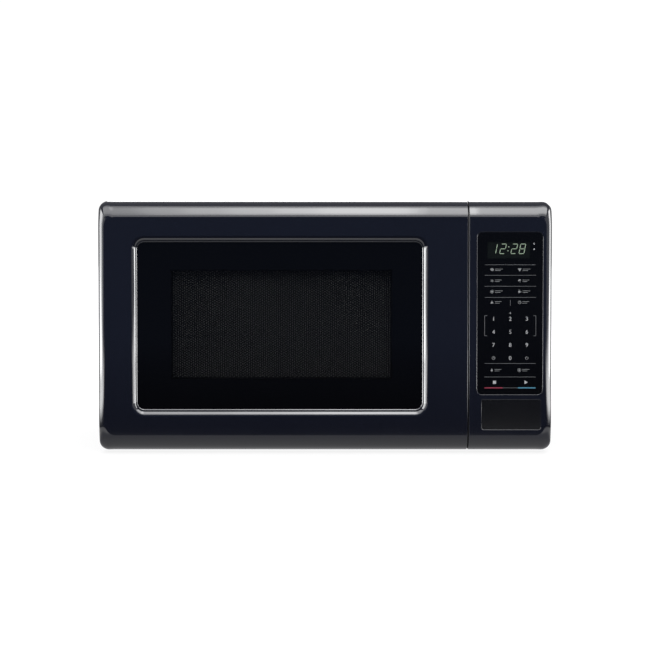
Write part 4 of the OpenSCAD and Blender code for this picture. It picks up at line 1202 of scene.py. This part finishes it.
def wound_copper():
    material, tree, shader, colour, relief = surface(
        "wound_copper", (0.52, 0.21, 0.08), (0.62, 0.28, 0.12),
        rough=0.28, spread=0.1, grain=500.0, bump=0.05, scale=40.0, metal=0.9)
    place = object_place(tree)
    turns = node(tree, "ShaderNodeTexWave", {"Vector": place}, bands_direction="Z", in_Scale=160.0,
                 in_Distortion=1.0)
    relief.inputs["Strength"].default_value = 0.5
    tree.links.new(turns.outputs["Fac"], relief.inputs["Height"])
    tree.links.new(blend_colour(tree, turns.outputs["Fac"], (0.2, 0.07, 0.03), colour),
                   shader.inputs["Base Color"])
    return material


def laminated_iron():
    material, tree, _, _, relief = surface(
        "laminated_iron", (0.10, 0.10, 0.11), (0.16, 0.16, 0.17),
        rough=0.42, spread=0.15, grain=500.0, bump=0.1, scale=40.0, metal=0.8)
    place = object_place(tree)
    layers = node(tree, "ShaderNodeTexWave", {"Vector": place}, bands_direction="Y", in_Scale=320.0,
                  in_Distortion=0.4)
    relief.inputs["Strength"].default_value = 0.3
    tree.links.new(layers.outputs["Fac"], relief.inputs["Height"])
    return material


def bright_steel():
    material, tree, shader, colour, *_ = surface(
        "bright_steel", (0.58, 0.58, 0.6), (0.68, 0.68, 0.7),
        rough=0.24, spread=0.12, grain=900.0, bump=0.05, scale=60.0, metal=1.0)
    worn(tree, shader, colour, (0.8, 0.8, 0.8), 0.6, 0.0003)
    return material


def black_rubber():
    material, tree, shader, *_ = surface(
        "black_rubber", (0.015, 0.015, 0.015), (0.028, 0.028, 0.028),
        rough=0.72, spread=0.12, grain=1500.0, bump=0.3, scale=40.0)
    dusty(tree, shader, 0.25)
    return material


def circuit_board():
    material, tree, shader, colour, *_ = surface(
        "circuit_board", (0.02, 0.11, 0.05), (0.03, 0.15, 0.07),
        rough=0.3, spread=0.1, grain=900.0, bump=0.05, scale=60.0)
    place = object_place(tree)
    tracks = node(tree, "ShaderNodeTexBrick", {"Vector": place}, in_Scale=90.0)
    tracks.inputs["Mortar Size"].default_value = 0.06
    tree.links.new(blend_colour(tree, tracks.outputs["Fac"], colour, (0.08, 0.26, 0.13)),
                   shader.inputs["Base Color"])
    return material


# ---------------------------------------------------------------- build
def paint(material, *names):
    """Gives CAD nodes their finish."""
    for name in names:
        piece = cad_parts[name]
        piece.data.materials.clear()
        piece.data.materials.append(material)


def soften(width, *names, segments=2):
    """Rounds the edges of CAD nodes by a bevel that is width millimetres wide."""
    for name in names:
        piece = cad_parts[name]
        bevel = piece.modifiers.new("edges", "BEVEL")
        bevel.width, bevel.segments, bevel.limit_method = width * MM, segments, "ANGLE"
        bevel.angle_limit = math.radians(35)
        bevel.harden_normals = True


gloss = gloss_fascia()
door_fascia(gloss)
panel_fascia(gloss)
spring_seat(gloss)
perforated_sheet(black_enamel())
glass_tray(pressed_glass())
steel = bright_steel()
button_return_spring(steel)
latch_return_spring(steel)
rear_screws(steel)
metal = aluminium()
swept_fan(metal)
white, grey = printed("white_print", (0.5, 0.51, 0.53)), printed("grey_print", (0.14, 0.145, 0.155))
keypad_printing(white, printed("soft_print", (0.3, 0.31, 0.32)), grey,
                printed("red_print", (0.26, 0.02, 0.05)), printed("blue_print", (0.06, 0.24, 0.36)))
clock_digits(lit_segment())
indicator_marks(white)

paint(satin_button(), "release_button")
paint(membrane(), "keypad_overlay")
paint(display_tint(), "display_window")
paint(smoked_glass(), "door_window")
paint(hazy_film(), "inner_film")
paint(powder_coat(), "cabinet_wrap")
paint(zinc_steel(), "base_plate", "rear_panel", "upper_hinge", "lower_hinge")
paint(zinc_steel("dull_zinc", 0.35), "waveguide", "magnetron_yoke", "magnetron_filter_box",
      "capacitor_clamp", "turntable_motor")
paint(grey_enamel(), "front_flange", "cavity_floor", "cavity_ceiling", "cavity_left_wall",
      "cavity_right_wall", "cavity_back_wall")
paint(black_enamel(), "door_screen")
plastic = black_plastic()
paint(plastic, "choke_cover", "door_switches", "fan_shroud", "air_duct", "diode", "thermal_cutouts",
      "display_module")
paint(nylon(), "latch_board", "release_lever", "latch_hooks", "drive_coupler", "roller_ring",
      "roller_wheel_1", "roller_wheel_2", "roller_wheel_3")
paint(nylon("red_nylon", (0.42, 0.03, 0.02), (0.5, 0.05, 0.04)), "switch_plungers")
paint(nylon("blue_parts", (0.05, 0.08, 0.3), (0.08, 0.12, 0.38)), "board_components")
paint(circuit_board(), "control_board", "filter_board")
paint(mica(), "waveguide_cover")
paint(metal, "magnetron_fins", "capacitor")
paint(wound_copper(), "transformer_windings", "magnetron_tube")
paint(laminated_iron(), "transformer_core", "fan_motor")
paint(steel, "hinge_screws")
paint(black_rubber(), "feet", "cord_gland")
paint(lamp_glass(), "oven_lamp")
soften(0.6, "release_button", "choke_cover", "latch_hooks", "release_lever", "latch_board", "air_duct",
       "fan_shroud")
soften(0.3, "door_screen", "drive_coupler", "roller_wheel_1", "roller_wheel_2", "roller_wheel_3",
       "upper_hinge", "lower_hinge", "capacitor", "waveguide", "magnetron_yoke", "magnetron_filter_box",
       "roller_ring", "feet", "cord_gland", "transformer_windings", "door_window")
soften(0.15, "keypad_overlay", "cabinet_wrap", "rear_panel", "base_plate", "front_flange", "hinge_screws",
       "display_window")


# ---------------------------------------------------------------- studio
def studio_floor():
    """A wide pale floor. In mirror reflections it is bright close to the oven and dim further off."""
    mesh = bmesh.new()
    bmesh.ops.create_circle(mesh, cap_ends=True, segments=96, radius=9)
    data = bpy.data.meshes.new("floor")
    mesh.to_mesh(data)
    mesh.free()
    floor = bpy.data.objects.new("floor", data)
    bpy.context.scene.collection.objects.link(floor)
    material = bpy.data.materials.new("floor")
    material.use_nodes = True
    tree = material.node_tree
    tree.nodes.clear()
    place = object_place(tree)
    size = node(tree, "ShaderNodeVectorMath", {0: place}, operation="ABSOLUTE")
    beyond = node(tree, "ShaderNodeVectorMath", {0: size.outputs[0]}, operation="SUBTRACT",
                  in_1=(door_x[0] * -MM, front_y * -MM, 0))
    outside = node(tree, "ShaderNodeVectorMath", {0: beyond.outputs[0]}, operation="MAXIMUM", in_1=(0, 0, 0))
    away = node(tree, "ShaderNodeVectorMath", {0: outside.outputs[0]}, operation="LENGTH")
    shade = node(tree, "ShaderNodeValToRGB")
    scaled = calculate(tree, "MULTIPLY", away.outputs["Value"], 0.25)
    tree.links.new(scaled, shade.inputs[0])
    stops = [(0.0, (0.6, 0.6, 0.62)), (0.006, (0.42, 0.42, 0.45)), (0.012, (0.5, 0.5, 0.53)),
             (0.018, (1, 1, 1)), (0.034, (1, 1, 1)), (0.045, (0.02, 0.02, 0.025)),
             (0.15, (0.025, 0.03, 0.045)), (0.5, (0.05, 0.065, 0.11))]
    ramp = shade.color_ramp.elements
    while len(ramp) < len(stops):
        ramp.new(0.5)
    for element, (at, colour) in zip(ramp, stops):
        element.position, element.color = at, (*colour, 1)
    parts = node(tree, "ShaderNodeSeparateXYZ", {0: beyond.outputs[0]})
    ahead = node(tree, "ShaderNodeSeparateXYZ", {0: place})
    side = remap(tree, parts.outputs["X"], (0.28, 0.5), (0.0, 8.0))
    near = remap(tree, ahead.outputs["Y"], (-1.9, -0.7), (0.0, 1.0))
    past = remap(tree, ahead.outputs["Y"], (-0.2, 0.3), (1.0, 0.14))
    along = calculate(tree, "MULTIPLY", near, past)
    strip = calculate(tree, "MULTIPLY", side, along)
    total = node(tree, "ShaderNodeVectorMath", {0: shade.outputs[0], 1: strip}, operation="ADD")
    level = remap(tree, away.outputs["Value"], (0.1, 0.7), (0.86, 1.05))
    seen = node(tree, "ShaderNodeEmission", {"Strength": level}, in_Color=(1, 1, 1, 1))
    shadow = node(tree, "ShaderNodeBsdfDiffuse", in_Color=(0.16, 0.16, 0.16, 1))
    pale = node(tree, "ShaderNodeAddShader", {0: seen.outputs[0], 1: shadow.outputs[0]})
    mirrored = node(tree, "ShaderNodeEmission", {"Color": total.outputs[0]})
    rays = node(tree, "ShaderNodeLightPath")
    dull = node(tree, "ShaderNodeBsdfDiffuse", in_Color=(0.2, 0.2, 0.2, 1))
    back = node(tree, "ShaderNodeMixShader", {0: rays.outputs["Is Glossy Ray"], 1: dull.outputs[0],
                                              2: mirrored.outputs[0]})
    both = node(tree, "ShaderNodeMixShader", {0: rays.outputs["Is Camera Ray"], 1: back.outputs[0],
                                              2: pale.outputs[0]})
    node(tree, "ShaderNodeOutputMaterial", {"Surface": both.outputs[0]})
    data.materials.append(material)


def sky():
    """White behind the oven, soft all round, and dim in front where the gloss mirrors it."""
    world = bpy.data.worlds.new("studio")
    bpy.context.scene.world = world
    world.use_nodes = True
    tree = world.node_tree
    tree.nodes.clear()
    rays = node(tree, "ShaderNodeLightPath")
    way = node(tree, "ShaderNodeTexCoord")
    parts = node(tree, "ShaderNodeSeparateXYZ", {0: way.outputs["Generated"]})
    level = remap(tree, parts.outputs["Y"], (-0.8, 0.1), (0.0, 1.0))
    mirrored = blend_colour(tree, level, (0.05, 0.065, 0.11), (0.3, 0.3, 0.31))
    around = blend_colour(tree, rays.outputs["Is Glossy Ray"], (0.48, 0.49, 0.5), mirrored)
    seen = node(tree, "ShaderNodeBackground", in_Color=(1, 1, 1, 1), in_Strength=1.05)
    fill = node(tree, "ShaderNodeBackground", {"Color": around}, in_Strength=1.0)
    both = node(tree, "ShaderNodeMixShader", {0: rays.outputs["Is Camera Ray"], 1: fill.outputs[0],
                                              2: seen.outputs[0]})
    node(tree, "ShaderNodeOutputWorld", {"Surface": both.outputs[0]})


def softbox(name, place, target, size, radiance, mirrored=True, lit=True):
    """A rectangular light that faces its target; radiance is how bright it looks."""
    light = bpy.data.lights.new(name, "AREA")
    light.shape, light.size, light.size_y = "RECTANGLE", size[0], size[1]
    light.energy = radiance * math.pi * size[0] * size[1]
    lamp = bpy.data.objects.new(name, light)
    bpy.context.scene.collection.objects.link(lamp)
    lamp.location = place
    lamp.rotation_euler = (Vector(target) - Vector(place)).to_track_quat("-Z", "Y").to_euler()
    lamp.visible_camera = False
    lamp.visible_glossy = mirrored
    lamp.visible_diffuse = lit


def camera():
    distance, rise = 2.1, math.radians(2.7)
    target = Vector((-0.00005, front_y * MM, (mid_z + 1.3) * MM))
    data = bpy.data.cameras.new("camera")
    data.sensor_width, data.lens = 36, 120.05
    eye = bpy.data.objects.new("camera", data)
    bpy.context.scene.collection.objects.link(eye)
    eye.location = target + Vector((0, -math.cos(rise), math.sin(rise))) * distance
    eye.rotation_euler = (target - eye.location).to_track_quat("-Z", "Y").to_euler()
    bpy.context.scene.camera = eye


studio_floor()
sky()
# left end, right end, height and radiance of the white cards that the upper band mirrors
top_cards = ((-1.3, 1.3, 1.96, 1.5), (-1.3, 1.3, 1.28, 1.2), (-1.3, 1.3, 0.75, 0.4),
             (-0.3, 1.3, 1.28, 1.3), (-0.23, 1.3, 0.9, 1.17), (-0.16, 0.24, 1.28, 1.0),
             (-0.08, 0.19, 0.75, 1.17), (-0.01, 0.14, 1.28, 1.17))
for layer, (left, right, height, radiance) in enumerate(top_cards):
    middle, lift = (left + right) / 2, 0.004 * layer
    softbox("top_card", (middle, -0.85, 1.46 + lift), (middle, front_y * MM, 0.2 + lift),
            (right - left, height), radiance, lit=False)
# near end, far end and radiance of the cards on each side
side_cards = {-1: ((-0.89, -0.06, 8.5), (-1.4, 0.1, 3.6), (-3.0, 0.5, 0.8)),
              1: ((-0.47, 0.1, 9.5), (-0.62, 0.2, 2.6), (-3.0, 0.5, 0.6))}
for side, cards in side_cards.items():
    for near_y, far_y, radiance in cards:
        centre = (1.3 * side, (near_y + far_y) / 2, 0.5)
        softbox("side_card", centre, (0, centre[1], 0.5), (far_y - near_y, 1.1), radiance, lit=False)
softbox("front_fill", (0, -2.3, 1.7), (0, 0, 0.1), (2.5, 1.5), 4.0, mirrored=False)
softbox("top_fill", (0, 0.1, 2.2), (0, 0, 0), (2.5, 2.5), 1.6, mirrored=False)
softbox("rear_fill", (0.5, 2.1, 1.1), (0, 0.1, 0.12), (2.2, 1.4), 3.0)
camera()
bpy.context.scene.view_settings.view_transform = "Standard"
